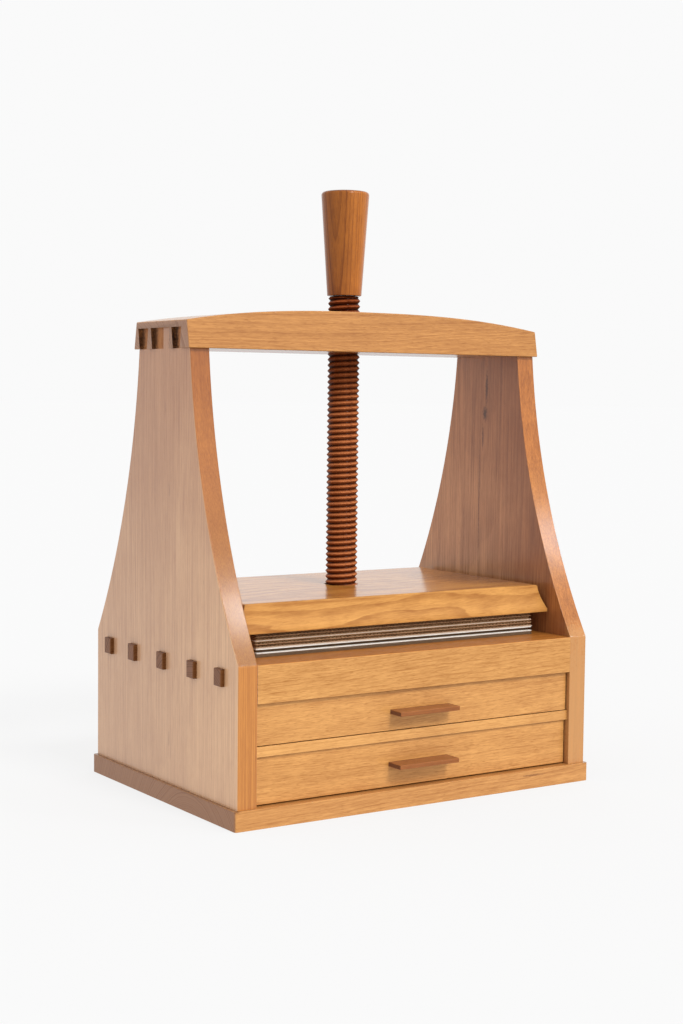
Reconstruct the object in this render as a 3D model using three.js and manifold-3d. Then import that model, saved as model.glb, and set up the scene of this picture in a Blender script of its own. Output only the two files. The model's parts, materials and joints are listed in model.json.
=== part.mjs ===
// A cherry-wood screw press with two drawers: a base board, two tapering side panels, a bed
// board held by through tenons, an arched top beam on dovetails, a wooden screw with a
// turned handle that lifts and lowers a platen, and a stack of loose boards and papers.
// Millimetres, +X to the right along the front, +Y to the back, +Z up.
// The origin is the centre of the base board's underside.
import * as THREE from 'three';
import { mergeVertices } from 'three/addons/utils/BufferGeometryUtils.js';
import Module from 'manifold-3d';

const wasm = await Module();
wasm.setup();

// ---------------------------------------------------------------- driving dimensions
const GLUE_GAP = 0.05; // line between two glued or stacked faces
const JOINT_GAP = 0.1; // all round a tenon, tail or screw in its hole
const ROUND = 32; // sides of a turned piece
const SMALL_ROUND = 16; // sides of a wood screw or its hole

const base = { halfX: 194, halfY: 137.3, height: 17.3, cornerRadius: 2.5 };

const panel = {
  outerX: 190.5,
  thickness: 19.05,
  halfDepth: 134.7, // below the knee
  kneeZ: 138.8,
  kneeBlend: 5, // length of outline rounded off on each side of the knee
  topHalfDepth: 48.5,
  topZ: 404.3,
  edgeRadius: 631.5, // hollow curve of the front and back edges
};
const innerX = panel.outerX - panel.thickness;

const bed = { bottomZ: 105.5, topZ: 139 };
const tenon = {
  width: 12.5,
  bottomZ: 119,
  topZ: 134,
  proud: 4,
  spacing: [-105.5, -57, 0, 57, 105.5],
};

const beam = {
  halfX: 193.6,
  halfYBottom: 52.6,
  faceSlope: 0.18, // how far the front and back faces lean in per unit of height
  endHeight: 24.45,
  crown: 12.5, // rise of the top from the ends to the middle
  crownPower: 2.6,
  crownSteps: 28,
};
const tail = {
  height: 18.5,
  list: [
    { y: -28.6, halfBottom: 6.3, halfTop: 9 },
    { y: 1.6, halfBottom: 15.5, halfTop: 18 },
    { y: 34.4, halfBottom: 7, halfTop: 9.8 },
  ],
};

const back = { thickness: 12, housing: 6 }; // set in a rebate of each panel
const divider = { bottomZ: 59.8, topZ: 68.8, frontY: -131.6, backY: -95, housing: 5 };
const runner = { width: 18, backY: panel.halfDepth - back.thickness };
const stop = { halfX: 30, depth: 10, height: 12 };

const thread = {
  pitch: 5.268,
  crestZ: 201.2, // where a crest crosses the XZ plane on the +X side
  crestRadius: 15.2,
  rootRadius: 13.2,
  sides: 16,
  clearance: 0.5, // radial, between the screw and the tapped beam
};
const screw = {
  footZ: 173, // shoulder that presses on the thrust washer
  footRadius: 13.2,
  threadBottomZ: 181,
  threadTopZ: 457.5,
  spigotRadius: 7.6, // goes through the platen
  topSpigotRadius: 10,
  topSpigotLength: 34,
};
const handle = {
  bottomZ: 458.2,
  bottomRadius: 16.2,
  shoulderZ: 552,
  topRadius: 22.5,
  topZ: 556.7,
  edgeRadius: 3.2,
};

const platen = {
  bottomZ: 160,
  topZ: 185.5,
  lip: 2.8, // upright edge under the hollow bevel
  halfX: 169.5,
  halfY: 103,
  inset: 7.5, // from the lip to the top edge
  hollow: 1, // depth of the bevel's hollow
  bevelSteps: 8,
  boreRadius: 15.7,
  spigotHoleRadius: 8.2,
  washerRecess: 6.5,
  washerRecessRadius: 14.4,
};
const thrustWasher = { thickness: 1.5, outerRadius: 15.2 };
const footWasher = { thickness: 1.5, outerRadius: 13, holeRadius: 2.7 };

const woodScrew = { headRadius: 4.4, headHeight: 2.6, shankRadius: 2.3, tip: 4 };
const baseScrew = { length: 42, recess: 5, recessRadius: 5, spacing: [-100, 0, 100] };
const footScrewLength = 34;

const drawer = {
  sideGap: 0.9,
  frontThickness: 14,
  sideThickness: 8,
  backThickness: 8,
  backY: 108, // outer face of the drawer's back
  tailLength: 9, // into the front, which hides it
  tailHalfRoot: 4,
  tailHalfTip: 5.5,
  bottomThickness: 4,
  bottomAbove: 4, // under face of the bottom above the lower edge of the sides
  groove: 4,
  boxDrop: 3, // the sides stop this far under the front's top edge
};
const pull = { halfX: 32.5, thickness: 4, frontY: -146.8, tongue: 6 };
const drawers = [
  { name: 'upper_drawer', frontY: -130.6, bottomZ: 69.5, topZ: 104.8, pullTopZ: 88 },
  { name: 'lower_drawer', frontY: -128.8, bottomZ: 18.5, topZ: 59.1, pullTopZ: 40.8 },
];

// From the bottom up. dx and dy shift a sheet, trim shortens it on every side.
const stack = {
  halfX: 153.5,
  halfY: 100,
  layers: [
    { name: 'bottom_board', thickness: 2.1, dx: 0.3, dy: 0.5, trim: 0, kind: 'board' },
    { name: 'blotter_1', thickness: 0.85, dx: -0.4, dy: 0, trim: 0.5, kind: 'paper' },
    { name: 'blotter_2', thickness: 0.85, dx: 0.6, dy: -0.3, trim: 0.8, kind: 'paper' },
    { name: 'middle_board', thickness: 2.6, dx: -0.6, dy: 1.5, trim: 3, kind: 'darkBoard' },
    { name: 'blotter_3', thickness: 0.85, dx: 0.4, dy: -0.2, trim: 0.6, kind: 'paper' },
    { name: 'blotter_4', thickness: 0.85, dx: 1.2, dy: 0.3, trim: 0.2, kind: 'paper' },
    { name: 'corrugated_board_1', thickness: 2.75, dx: 0.4, dy: 0.2, trim: 0.6, kind: 'board' },
    { name: 'corrugated_board_2', thickness: 2.75, dx: -0.5, dy: -0.2, trim: 0.2, kind: 'board' },
    { name: 'blotter_5', thickness: 0.5, dx: 0.2, dy: 0.2, trim: 0.4, kind: 'paper' },
    { name: 'corrugated_board_3', thickness: 2.95, dx: -0.2, dy: 0.6, trim: 1.4, kind: 'board' },
    { name: 'corrugated_board_4', thickness: 2.95, dx: 0.3, dy: 0.4, trim: 0.8, kind: 'board' },
  ],
};

// ---------------------------------------------------------------- materials
const finish = (color, roughness, metalness = 0) =>
  new THREE.MeshStandardMaterial({ color, roughness, metalness });
const material = {
  cherry: finish(0xcd8f57, 0.45),
  darkCherry: finish(0x8e4526, 0.42),
  drawerBox: finish(0xd8a878, 0.55),
  steel: finish(0xb8b8b4, 0.3, 1),
  brass: finish(0xb6934e, 0.3, 1),
  paper: finish(0xf2eee6, 0.9),
  board: finish(0x9c7a58, 0.9),
  darkBoard: finish(0x4a3828, 0.9),
};

// ---------------------------------------------------------------- solids
/** The closed solid of a three.js geometry. */
function solid(geometry) {
  const bare = geometry.clone();
  bare.deleteAttribute('normal');
  bare.deleteAttribute('uv');
  const merged = mergeVertices(bare, 1e-5);
  const index = Array.from(merged.index.array);
  const kept = [];
  for (let i = 0; i < index.length; i += 3) {
    const [a, b, c] = index.slice(i, i + 3);
    if (a !== b && b !== c && c !== a) kept.push(a, b, c);
  }
  return new wasm.Manifold(new wasm.Mesh({
    numProp: 3,
    vertProperties: new Float32Array(merged.attributes.position.array),
    triVerts: new Uint32Array(kept),
  }));
}

/** The three.js geometry of a solid. */
function geometryOf(body) {
  const mesh = body.getMesh();
  const geometry = new THREE.BufferGeometry();
  geometry.setAttribute('position', new THREE.BufferAttribute(mesh.vertProperties, 3));
  geometry.setIndex(new THREE.BufferAttribute(mesh.triVerts, 1));
  geometry.computeVertexNormals();
  return geometry;
}

function box([x0, x1], [y0, y1], [z0, z1]) {
  const geometry = new THREE.BoxGeometry(x1 - x0, y1 - y0, z1 - z0);
  geometry.translate((x0 + x1) / 2, (y0 + y1) / 2, (z0 + z1) / 2);
  return solid(geometry);
}

/** An outline drawn in the plane of two axes, pushed along the third from near to far. */
function extrude(shape, axis, near, far, curveSegments = 16) {
  const geometry = new THREE.ExtrudeGeometry(shape, {
    depth: far - near,
    bevelEnabled: false,
    curveSegments,
  });
  const turn = new THREE.Matrix4();
  if (axis === 'x') {
    // outline in Y and Z
    turn.makeBasis(
      new THREE.Vector3(0, 1, 0),
      new THREE.Vector3(0, 0, 1),
      new THREE.Vector3(1, 0, 0),
    );
    turn.setPosition(near, 0, 0);
  } else if (axis === 'y') {
    // outline in X and Z
    turn.makeBasis(
      new THREE.Vector3(1, 0, 0),
      new THREE.Vector3(0, 0, 1),
      new THREE.Vector3(0, -1, 0),
    );
    turn.setPosition(0, far, 0);
  } else {
    turn.setPosition(0, 0, near);
  }
  geometry.applyMatrix4(turn);
  return solid(geometry);
}

/** A turned solid about Z from [radius, height] points that start and end on the axis. */
function turned(profile, sides = ROUND) {
  const points = profile.map(([radius, height]) => new THREE.Vector2(radius, height));
  const geometry = new THREE.LatheGeometry(points, sides);
  geometry.rotateX(Math.PI / 2);
  return solid(geometry);
}

const cylinder = (radius, z0, z1, sides = ROUND) =>
  turned([[0, z0], [radius, z0], [radius, z1], [0, z1]], sides);

const polygon = (points) => new THREE.Shape(points.map(([u, v]) => new THREE.Vector2(u, v)));

/**
 * A V-threaded rod about Z with a right-hand thread, grown radially by grow. It is built
 * of upright columns of alternating root and crest points, each column a little higher
 * than the last, so that the last column meets the first one pitch higher.
 */
function threadedRod(z0, z1, grow = 0) {
  const { pitch, crestRadius, rootRadius, sides } = thread;
  const radii = [rootRadius + grow, crestRadius + grow];
  const turnsBelow = Math.ceil((thread.crestZ - z0) / pitch) + 2;
  const firstZ = thread.crestZ - pitch * (turnsBelow + 0.5);
  const turns = Math.ceil((z1 - firstZ) / pitch) + 2;
  const perColumn = turns * radii.length;
  const positions = [];
  for (let column = 0; column < sides; column += 1) {
    const angle = (2 * Math.PI * column) / sides;
    for (let point = 0; point < perColumn; point += 1) {
      const radius = radii[point % radii.length];
      const z = firstZ + pitch * (point / radii.length + column / sides);
      positions.push(radius * Math.cos(angle), radius * Math.sin(angle), z);
    }
  }
  const bottom = positions.length / 3;
  positions.push(0, 0, firstZ);
  positions.push(0, 0, firstZ + pitch * (turns + 1));
  const index = [];
  for (let column = 0; column < sides; column += 1) {
    const wraps = column === sides - 1;
    const left = column * perColumn;
    const right = wraps ? radii.length : left + perColumn;
    const rows = wraps ? perColumn - radii.length : perColumn;
    for (let row = 0; row < rows - 1; row += 1) {
      index.push(left + row, right + row, right + row + 1);
      index.push(left + row, right + row + 1, left + row + 1);
    }
    index.push(bottom, right, left);
    index.push(bottom + 1, left + rows - 1, right + rows - 1);
  }
  const last = (sides - 1) * perColumn + perColumn - radii.length - 1;
  for (let row = 0; row < radii.length; row += 1) {
    index.push(bottom, row, row + 1);
    index.push(bottom + 1, last + row + 1, last + row);
  }
  const geometry = new THREE.BufferGeometry();
  geometry.setAttribute('position', new THREE.Float32BufferAttribute(positions, 3));
  geometry.setIndex(index);
  return solid(geometry);
}

/** A flat-headed wood screw that points up, with the face of its head at height z. */
function flatHeadScrew(z, length) {
  const { headRadius, headHeight, shankRadius, tip } = woodScrew;
  return turned([
    [0, z],
    [headRadius, z],
    [shankRadius, z + headHeight],
    [shankRadius, z + length - tip],
    [0, z + length],
  ], SMALL_ROUND);
}

// ---------------------------------------------------------------- frame pieces
function baseBoard() {
  const { halfX, halfY, height, cornerRadius: r } = base;
  const outline = new THREE.Shape();
  outline.moveTo(-halfX + r, -halfY);
  outline.absarc(halfX - r, -halfY + r, r, -Math.PI / 2, 0);
  outline.absarc(halfX - r, halfY - r, r, 0, Math.PI / 2);
  outline.absarc(-halfX + r, halfY - r, r, Math.PI / 2, Math.PI);
  outline.absarc(-halfX + r, -halfY + r, r, Math.PI, 1.5 * Math.PI);
  let board = extrude(outline, 'z', 0, height, 3);
  for (const at of baseScrewPlaces()) {
    const recess = cylinder(baseScrew.recessRadius, -1, baseScrew.recess, SMALL_ROUND);
    const hole = cylinder(woodScrew.shankRadius + JOINT_GAP, 0, height + 1, SMALL_ROUND);
    const seat = turned([
      [0, baseScrew.recess - 1],
      [woodScrew.headRadius + JOINT_GAP, baseScrew.recess - 1],
      [woodScrew.headRadius + JOINT_GAP, baseScrew.recess],
      [woodScrew.shankRadius + JOINT_GAP, baseScrew.recess + woodScrew.headHeight],
      [0, baseScrew.recess + woodScrew.headHeight],
    ], SMALL_ROUND);
    const cut = recess.add(hole).add(seat).translate([at.x, at.y, 0]);
    board = board.subtract(cut);
  }
  return board;
}

function baseScrewPlaces() {
  const x = panel.outerX - panel.thickness / 2;
  return [-x, x].flatMap((side) => baseScrew.spacing.map((y) => ({ x: side, y })));
}

/** Centre of the circle that the panel's edge follows, on the +Y side. */
function panelEdgeArc() {
  const knee = new THREE.Vector2(panel.halfDepth, panel.kneeZ);
  const top = new THREE.Vector2(panel.topHalfDepth, panel.topZ);
  const chord = top.clone().sub(knee);
  const away = new THREE.Vector2(chord.y, -chord.x).normalize();
  const reach = Math.sqrt(panel.edgeRadius ** 2 - (chord.length() / 2) ** 2);
  const centre = knee.clone().add(top).multiplyScalar(0.5).addScaledVector(away, reach);
  const angleTo = (point) => Math.atan2(point.y - centre.y, point.x - centre.x);
  const blend = panel.kneeBlend / panel.edgeRadius;
  return { centre, kneeAngle: angleTo(knee) + 2 * Math.PI, topAngle: angleTo(top), blend };
}

function panelOutline() {
  const { halfDepth, kneeZ, kneeBlend, topZ, edgeRadius } = panel;
  const { centre, kneeAngle, topAngle, blend } = panelEdgeArc();
  const start = kneeAngle - blend;
  const end = topAngle < 0 ? topAngle + 2 * Math.PI : topAngle;
  const bottomZ = base.height + GLUE_GAP;
  const outline = new THREE.Shape();
  outline.moveTo(-halfDepth, bottomZ);
  outline.lineTo(halfDepth, bottomZ);
  outline.lineTo(halfDepth, kneeZ - kneeBlend);
  outline.quadraticCurveTo(
    halfDepth,
    kneeZ,
    centre.x + edgeRadius * Math.cos(start),
    centre.y + edgeRadius * Math.sin(start),
  );
  outline.absarc(centre.x, centre.y, edgeRadius, start, end, true);
  for (const { y, halfBottom, halfTop } of [...tail.list].reverse()) {
    outline.lineTo(y + halfBottom, topZ);
    outline.lineTo(y + halfTop, topZ + tail.height);
    outline.lineTo(y - halfTop, topZ + tail.height);
    outline.lineTo(y - halfBottom, topZ);
  }
  outline.absarc(-centre.x, centre.y, edgeRadius, Math.PI - end, Math.PI - start, true);
  outline.quadraticCurveTo(-halfDepth, kneeZ, -halfDepth, kneeZ - kneeBlend);
  return outline;
}

/** A side panel; side is -1 for the left one and 1 for the right one. */
function sidePanel(side) {
  const near = side > 0 ? innerX : -panel.outerX;
  let board = extrude(panelOutline(), 'x', near, near + panel.thickness);
  const span = (depth) => (side > 0 ? [innerX - 1, innerX + depth] : [-innerX - depth, -innerX + 1]);
  const housing = box(
    span(divider.housing + JOINT_GAP),
    [divider.frontY - JOINT_GAP, runner.backY + 1],
    [divider.bottomZ - JOINT_GAP, divider.topZ + JOINT_GAP],
  );
  const rebate = box(
    span(back.housing + JOINT_GAP),
    [panel.halfDepth - back.thickness - JOINT_GAP, panel.halfDepth + 1],
    [base.height - 1, bed.bottomZ + GLUE_GAP],
  );
  board = board.subtract(housing).subtract(rebate);
  for (const y of tenon.spacing) {
    const reach = tenon.width / 2 + JOINT_GAP;
    const mortise = box(
      span(panel.thickness + 1),
      [y - reach, y + reach],
      [tenon.bottomZ - JOINT_GAP, tenon.topZ + JOINT_GAP],
    );
    board = board.subtract(mortise);
  }
  for (const at of baseScrewPlaces()) {
    const pilot = cylinder(woodScrew.shankRadius + JOINT_GAP, 0, baseScrew.length + 8, SMALL_ROUND);
    board = board.subtract(pilot.translate([at.x, at.y, 0]));
  }
  return board;
}

function bedBoard() {
  const { halfDepth } = panel;
  const reachX = panel.outerX + tenon.proud;
  let board = box(
    [-innerX + GLUE_GAP, innerX - GLUE_GAP],
    [-halfDepth, halfDepth],
    [bed.bottomZ, bed.topZ],
  );
  for (const y of tenon.spacing) {
    const half = tenon.width / 2;
    board = board.add(box([-reachX, reachX], [y - half, y + half], [tenon.bottomZ, tenon.topZ]));
  }
  return board;
}

function beamTopAt(x) {
  const bulge = 1 - Math.abs(x / beam.halfX) ** beam.crownPower;
  return panel.topZ + GLUE_GAP + beam.endHeight + beam.crown * bulge;
}

function topBeam() {
  const bottomZ = panel.topZ + GLUE_GAP;
  const front = [[-beam.halfX, bottomZ], [beam.halfX, bottomZ]];
  for (let step = 0; step <= beam.crownSteps; step += 1) {
    const x = beam.halfX * (1 - (2 * step) / beam.crownSteps);
    front.push([x, beamTopAt(x)]);
  }
  const highZ = bottomZ + 60;
  const highHalf = beam.halfYBottom - beam.faceSlope * (highZ - bottomZ);
  const section = polygon([
    [-beam.halfYBottom, bottomZ],
    [beam.halfYBottom, bottomZ],
    [highHalf, highZ],
    [-highHalf, highZ],
  ]);
  let board = extrude(polygon(front), 'y', -60, 60)
    .intersect(extrude(section, 'x', -200, 200));
  for (const { y, halfBottom, halfTop } of tail.list) {
    const low = halfBottom + JOINT_GAP;
    const high = halfTop + JOINT_GAP;
    const socket = polygon([
      [y - low, bottomZ - 1],
      [y + low, bottomZ - 1],
      [y + low, bottomZ],
      [y + high, panel.topZ + tail.height + JOINT_GAP],
      [y - high, panel.topZ + tail.height + JOINT_GAP],
      [y - low, bottomZ],
    ]);
    const depth = innerX - JOINT_GAP;
    board = board.subtract(extrude(socket, 'x', depth, beam.halfX + 1));
    board = board.subtract(extrude(socket, 'x', -beam.halfX - 1, -depth));
  }
  return board.subtract(threadedRod(bottomZ, beamTopAt(0), thread.clearance));
}

function backPanel() {
  const half = innerX + back.housing;
  return box(
    [-half, half],
    [panel.halfDepth - back.thickness, panel.halfDepth],
    [base.height + GLUE_GAP, bed.bottomZ - GLUE_GAP],
  );
}

function drawerDivider() {
  const half = innerX + divider.housing;
  return box([-half, half], [divider.frontY, divider.backY], [divider.bottomZ, divider.topZ]);
}

function drawerRunner(side) {
  const outer = innerX + divider.housing;
  const inner = innerX - runner.width;
  return box(
    side > 0 ? [inner, outer] : [-outer, -inner],
    [divider.backY + GLUE_GAP, runner.backY - JOINT_GAP - GLUE_GAP],
    [divider.bottomZ, divider.topZ],
  );
}

/** A small block glued to the back panel, which the closed drawer meets. */
function drawerStop(bottomZ) {
  const frontY = runner.backY - JOINT_GAP - GLUE_GAP - stop.depth;
  return box(
    [-stop.halfX, stop.halfX],
    [frontY, frontY + stop.depth],
    [bottomZ, bottomZ + stop.height],
  );
}

// ---------------------------------------------------------------- screw and platen
function pressScrew() {
  const { crestRadius, rootRadius } = thread;
  const { threadBottomZ: low, threadTopZ: high, footZ } = screw;
  const chamfer = crestRadius - rootRadius;
  const envelope = turned([
    [0, low],
    [rootRadius, low],
    [crestRadius + 1, low + chamfer + 1],
    [crestRadius + 1, high - chamfer - 1],
    [rootRadius, high],
    [0, high],
  ]);
  const spigotEndZ = platen.bottomZ + platen.washerRecess + GLUE_GAP;
  const plain = turned([
    [0, spigotEndZ],
    [screw.spigotRadius, spigotEndZ],
    [screw.spigotRadius, footZ],
    [screw.footRadius, footZ],
    [screw.footRadius, low + 1],
    [screw.topSpigotRadius, low + 2],
    [screw.topSpigotRadius, handle.bottomZ + screw.topSpigotLength],
    [0, handle.bottomZ + screw.topSpigotLength],
  ]);
  const pilot = cylinder(
    woodScrew.shankRadius + JOINT_GAP,
    spigotEndZ - 1,
    spigotEndZ + footScrewLength + 2,
    SMALL_ROUND,
  );
  return threadedRod(low, high).intersect(envelope).add(plain).subtract(pilot);
}

function turnedHandle() {
  const { bottomZ, bottomRadius, shoulderZ, topRadius, topZ, edgeRadius } = handle;
  const boreRadius = screw.topSpigotRadius + JOINT_GAP;
  const boreTopZ = bottomZ + screw.topSpigotLength + 0.3;
  const edge = [0, 0.25, 0.5, 0.75, 1].map((part) => {
    const angle = (part * Math.PI) / 2;
    return [
      topRadius - edgeRadius * (1 - Math.cos(angle)),
      shoulderZ + edgeRadius * Math.sin(angle),
    ];
  });
  return turned([
    [0, boreTopZ],
    [boreRadius, boreTopZ],
    [boreRadius, bottomZ],
    [bottomRadius - 0.8, bottomZ],
    [bottomRadius, bottomZ + 0.8],
    ...edge,
    [topRadius * 0.45, topZ - 0.4],
    [0, topZ],
  ]);
}

/** The platen's half size at a height, as the amount taken off at every side. */
function platenInset(z) {
  const bevelHeight = platen.topZ - platen.bottomZ - platen.lip;
  const part = Math.max(0, (z - platen.bottomZ - platen.lip) / bevelHeight);
  return platen.inset * part + 4 * platen.hollow * part * (1 - part);
}

function platenBoard() {
  const heights = [platen.bottomZ];
  const bevelBottomZ = platen.bottomZ + platen.lip;
  for (let step = 0; step <= platen.bevelSteps; step += 1) {
    heights.push(bevelBottomZ + ((platen.topZ - bevelBottomZ) * step) / platen.bevelSteps);
  }
  const positions = [];
  for (const z of heights) {
    const x = platen.halfX - platenInset(z);
    const y = platen.halfY - platenInset(z);
    positions.push(-x, -y, z, x, -y, z, x, y, z, -x, y, z);
  }
  const index = [0, 2, 1, 0, 3, 2];
  const lastRing = (heights.length - 1) * 4;
  index.push(lastRing, lastRing + 1, lastRing + 2, lastRing, lastRing + 2, lastRing + 3);
  for (let ring = 0; ring < lastRing; ring += 4) {
    for (let corner = 0; corner < 4; corner += 1) {
      const next = (corner + 1) % 4;
      index.push(ring + corner, ring + next, ring + 4 + next);
      index.push(ring + corner, ring + 4 + next, ring + 4 + corner);
    }
  }
  const geometry = new THREE.BufferGeometry();
  geometry.setAttribute('position', new THREE.Float32BufferAttribute(positions, 3));
  geometry.setIndex(index);
  const washerTopZ = screw.footZ - JOINT_GAP;
  return solid(geometry)
    .subtract(cylinder(platen.boreRadius, washerTopZ - thrustWasher.thickness, platen.topZ + 1))
    .subtract(cylinder(platen.spigotHoleRadius, platen.bottomZ - 1, platen.topZ))
    .subtract(cylinder(
      platen.washerRecessRadius,
      platen.bottomZ - 1,
      platen.bottomZ + platen.washerRecess,
    ));
}

/** A flat ring about Z. */
function ring(outerRadius, holeRadius, z0, z1) {
  return cylinder(outerRadius, z0, z1).subtract(cylinder(holeRadius, z0 - 1, z1 + 1));
}

function thrustWasherRing() {
  const topZ = screw.footZ - JOINT_GAP;
  const bottomZ = topZ - thrustWasher.thickness + GLUE_GAP;
  return ring(thrustWasher.outerRadius, platen.spigotHoleRadius, bottomZ, topZ);
}

const footWasherTopZ = platen.bottomZ + platen.washerRecess - 0.25;

function footWasherRing() {
  const bottomZ = footWasherTopZ - footWasher.thickness;
  return ring(footWasher.outerRadius, footWasher.holeRadius, bottomZ, footWasherTopZ);
}

function footWoodScrew() {
  const headTopZ = footWasherTopZ - footWasher.thickness - GLUE_GAP;
  return flatHeadScrew(headTopZ - woodScrew.headHeight, footScrewLength);
}

// ---------------------------------------------------------------- drawers
/** Heights of the dovetail tails of a drawer's sides. */
function drawerTails({ bottomZ, topZ }) {
  const low = bottomZ + drawer.bottomAbove + drawer.bottomThickness;
  const high = topZ - drawer.boxDrop;
  const margin = drawer.tailHalfTip + 2;
  return [low + margin, high - margin];
}

/**
 * The outline in Y and Z of one dovetail that leaves its board at rootY and flares towards
 * endY. It starts 1 mm inside the board; gap grows it all round and past lengthens it.
 */
function tailOutline(rootY, endY, z, gap = 0, past = 0) {
  const direction = Math.sign(endY - rootY);
  const flare = (drawer.tailHalfTip - drawer.tailHalfRoot) / Math.abs(endY - rootY);
  const root = drawer.tailHalfRoot + gap;
  const tip = drawer.tailHalfTip + gap + flare * past;
  const startY = rootY - direction;
  const farY = endY + direction * past;
  return polygon([
    [startY, z - root],
    [rootY, z - root],
    [farY, z - tip],
    [farY, z + tip],
    [rootY, z + root],
    [startY, z + root],
  ]);
}

function drawerShape(spec) {
  const halfX = innerX - drawer.sideGap;
  const frontBackY = spec.frontY + drawer.frontThickness;
  const tailEndY = frontBackY - drawer.tailLength;
  const rearFrontY = drawer.backY - drawer.backThickness;
  const sideTopZ = spec.topZ - drawer.boxDrop;
  const floorZ = spec.bottomZ + drawer.bottomAbove;
  return { halfX, frontBackY, tailEndY, rearFrontY, sideTopZ, floorZ };
}

/** The span of a drawer side in X; side is -1 or 1, and gap grows it on its inner face. */
function sideSpan(side, halfX, gap = 0) {
  const inner = halfX - drawer.sideThickness - gap;
  return side > 0 ? [inner, halfX] : [-halfX, -inner];
}

function drawerSide(spec, side) {
  const { halfX, frontBackY, tailEndY, rearFrontY, sideTopZ, floorZ } = drawerShape(spec);
  const span = sideSpan(side, halfX);
  let board = box(
    span,
    [frontBackY + GLUE_GAP, rearFrontY - GLUE_GAP],
    [spec.bottomZ, sideTopZ],
  );
  for (const z of drawerTails(spec)) {
    board = board.add(extrude(tailOutline(frontBackY, tailEndY, z), 'x', ...span));
    board = board.add(extrude(tailOutline(rearFrontY, drawer.backY, z), 'x', ...span));
  }
  const grooveDepth = drawer.groove;
  const inner = halfX - drawer.sideThickness;
  const groove = box(
    side > 0 ? [inner - 1, inner + grooveDepth] : [-inner - grooveDepth, -inner + 1],
    [frontBackY - 1, rearFrontY + 1],
    [floorZ, floorZ + drawer.bottomThickness],
  );
  return board.subtract(groove);
}

function drawerFront(spec) {
  const { halfX, frontBackY, tailEndY, floorZ } = drawerShape(spec);
  let board = box([-halfX, halfX], [spec.frontY, frontBackY], [spec.bottomZ, spec.topZ]);
  for (const side of [-1, 1]) {
    const [near, far] = sideSpan(side, halfX, JOINT_GAP);
    const from = side > 0 ? near : near - 1;
    const to = side > 0 ? far + 1 : far;
    for (const z of drawerTails(spec)) {
      const outline = tailOutline(frontBackY, tailEndY, z, JOINT_GAP, JOINT_GAP);
      board = board.subtract(extrude(outline, 'x', from, to));
    }
  }
  const grooveHalf = halfX - drawer.sideThickness + drawer.groove;
  const groove = box(
    [-grooveHalf, grooveHalf],
    [frontBackY - drawer.groove, frontBackY + 1],
    [floorZ, floorZ + drawer.bottomThickness],
  );
  const slot = box(
    [-pull.halfX - JOINT_GAP, pull.halfX + JOINT_GAP],
    [spec.frontY - 1, spec.frontY + pull.tongue + JOINT_GAP],
    [spec.pullTopZ - pull.thickness - JOINT_GAP, spec.pullTopZ + JOINT_GAP],
  );
  return board.subtract(groove).subtract(slot);
}

function drawerBack(spec) {
  const { halfX, rearFrontY, sideTopZ, floorZ } = drawerShape(spec);
  let board = box(
    [-halfX, halfX],
    [rearFrontY, drawer.backY],
    [floorZ + drawer.bottomThickness + GLUE_GAP, sideTopZ],
  );
  for (const side of [-1, 1]) {
    const [near, far] = sideSpan(side, halfX, JOINT_GAP);
    const from = side > 0 ? near : near - 1;
    const to = side > 0 ? far + 1 : far;
    for (const z of drawerTails(spec)) {
      const outline = tailOutline(rearFrontY, drawer.backY, z, JOINT_GAP, 1);
      board = board.subtract(extrude(outline, 'x', from, to));
    }
  }
  return board;
}

function drawerBottom(spec) {
  const { halfX, frontBackY, floorZ } = drawerShape(spec);
  const half = halfX - drawer.sideThickness + drawer.groove - JOINT_GAP;
  return box(
    [-half, half],
    [frontBackY - drawer.groove + JOINT_GAP, drawer.backY],
    [floorZ + GLUE_GAP, floorZ + drawer.bottomThickness - GLUE_GAP],
  );
}

function drawerPull(spec) {
  return box(
    [-pull.halfX, pull.halfX],
    [pull.frontY, spec.frontY + pull.tongue],
    [spec.pullTopZ - pull.thickness, spec.pullTopZ],
  );
}

// ---------------------------------------------------------------- the press
const press = new THREE.Group();

function place(name, body, surface) {
  const mesh = new THREE.Mesh(geometryOf(body), surface);
  mesh.name = name;
  press.add(mesh);
}

place('base_board', baseBoard(), material.cherry);
place('left_side_panel', sidePanel(-1), material.cherry);
place('right_side_panel', sidePanel(1), material.cherry);
place('bed_board', bedBoard(), material.cherry);
place('top_beam', topBeam(), material.cherry);
place('back_panel', backPanel(), material.cherry);
place('drawer_divider', drawerDivider(), material.cherry);
place('left_runner', drawerRunner(-1), material.drawerBox);
place('right_runner', drawerRunner(1), material.drawerBox);
place('upper_drawer_stop', drawerStop(divider.topZ + 2), material.drawerBox);
place('lower_drawer_stop', drawerStop(base.height + GLUE_GAP), material.drawerBox);
baseScrewPlaces().forEach((at, number) => {
  const body = flatHeadScrew(baseScrew.recess, baseScrew.length).translate([at.x, at.y, 0]);
  place(`base_screw_${number + 1}`, body, material.steel);
});

place('press_screw', pressScrew(), material.darkCherry);
place('handle', turnedHandle(), material.cherry);
place('foot_washer', footWasherRing(), material.steel);
place('foot_wood_screw', footWoodScrew(), material.steel);
place('platen_board', platenBoard(), material.cherry);
place('thrust_washer', thrustWasherRing(), material.brass);

for (const spec of drawers) {
  place(`${spec.name}_front`, drawerFront(spec), material.cherry);
  place(`${spec.name}_left_side`, drawerSide(spec, -1), material.drawerBox);
  place(`${spec.name}_right_side`, drawerSide(spec, 1), material.drawerBox);
  place(`${spec.name}_back`, drawerBack(spec), material.drawerBox);
  place(`${spec.name}_bottom`, drawerBottom(spec), material.drawerBox);
  place(`${spec.name}_pull`, drawerPull(spec), material.darkCherry);
}

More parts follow.
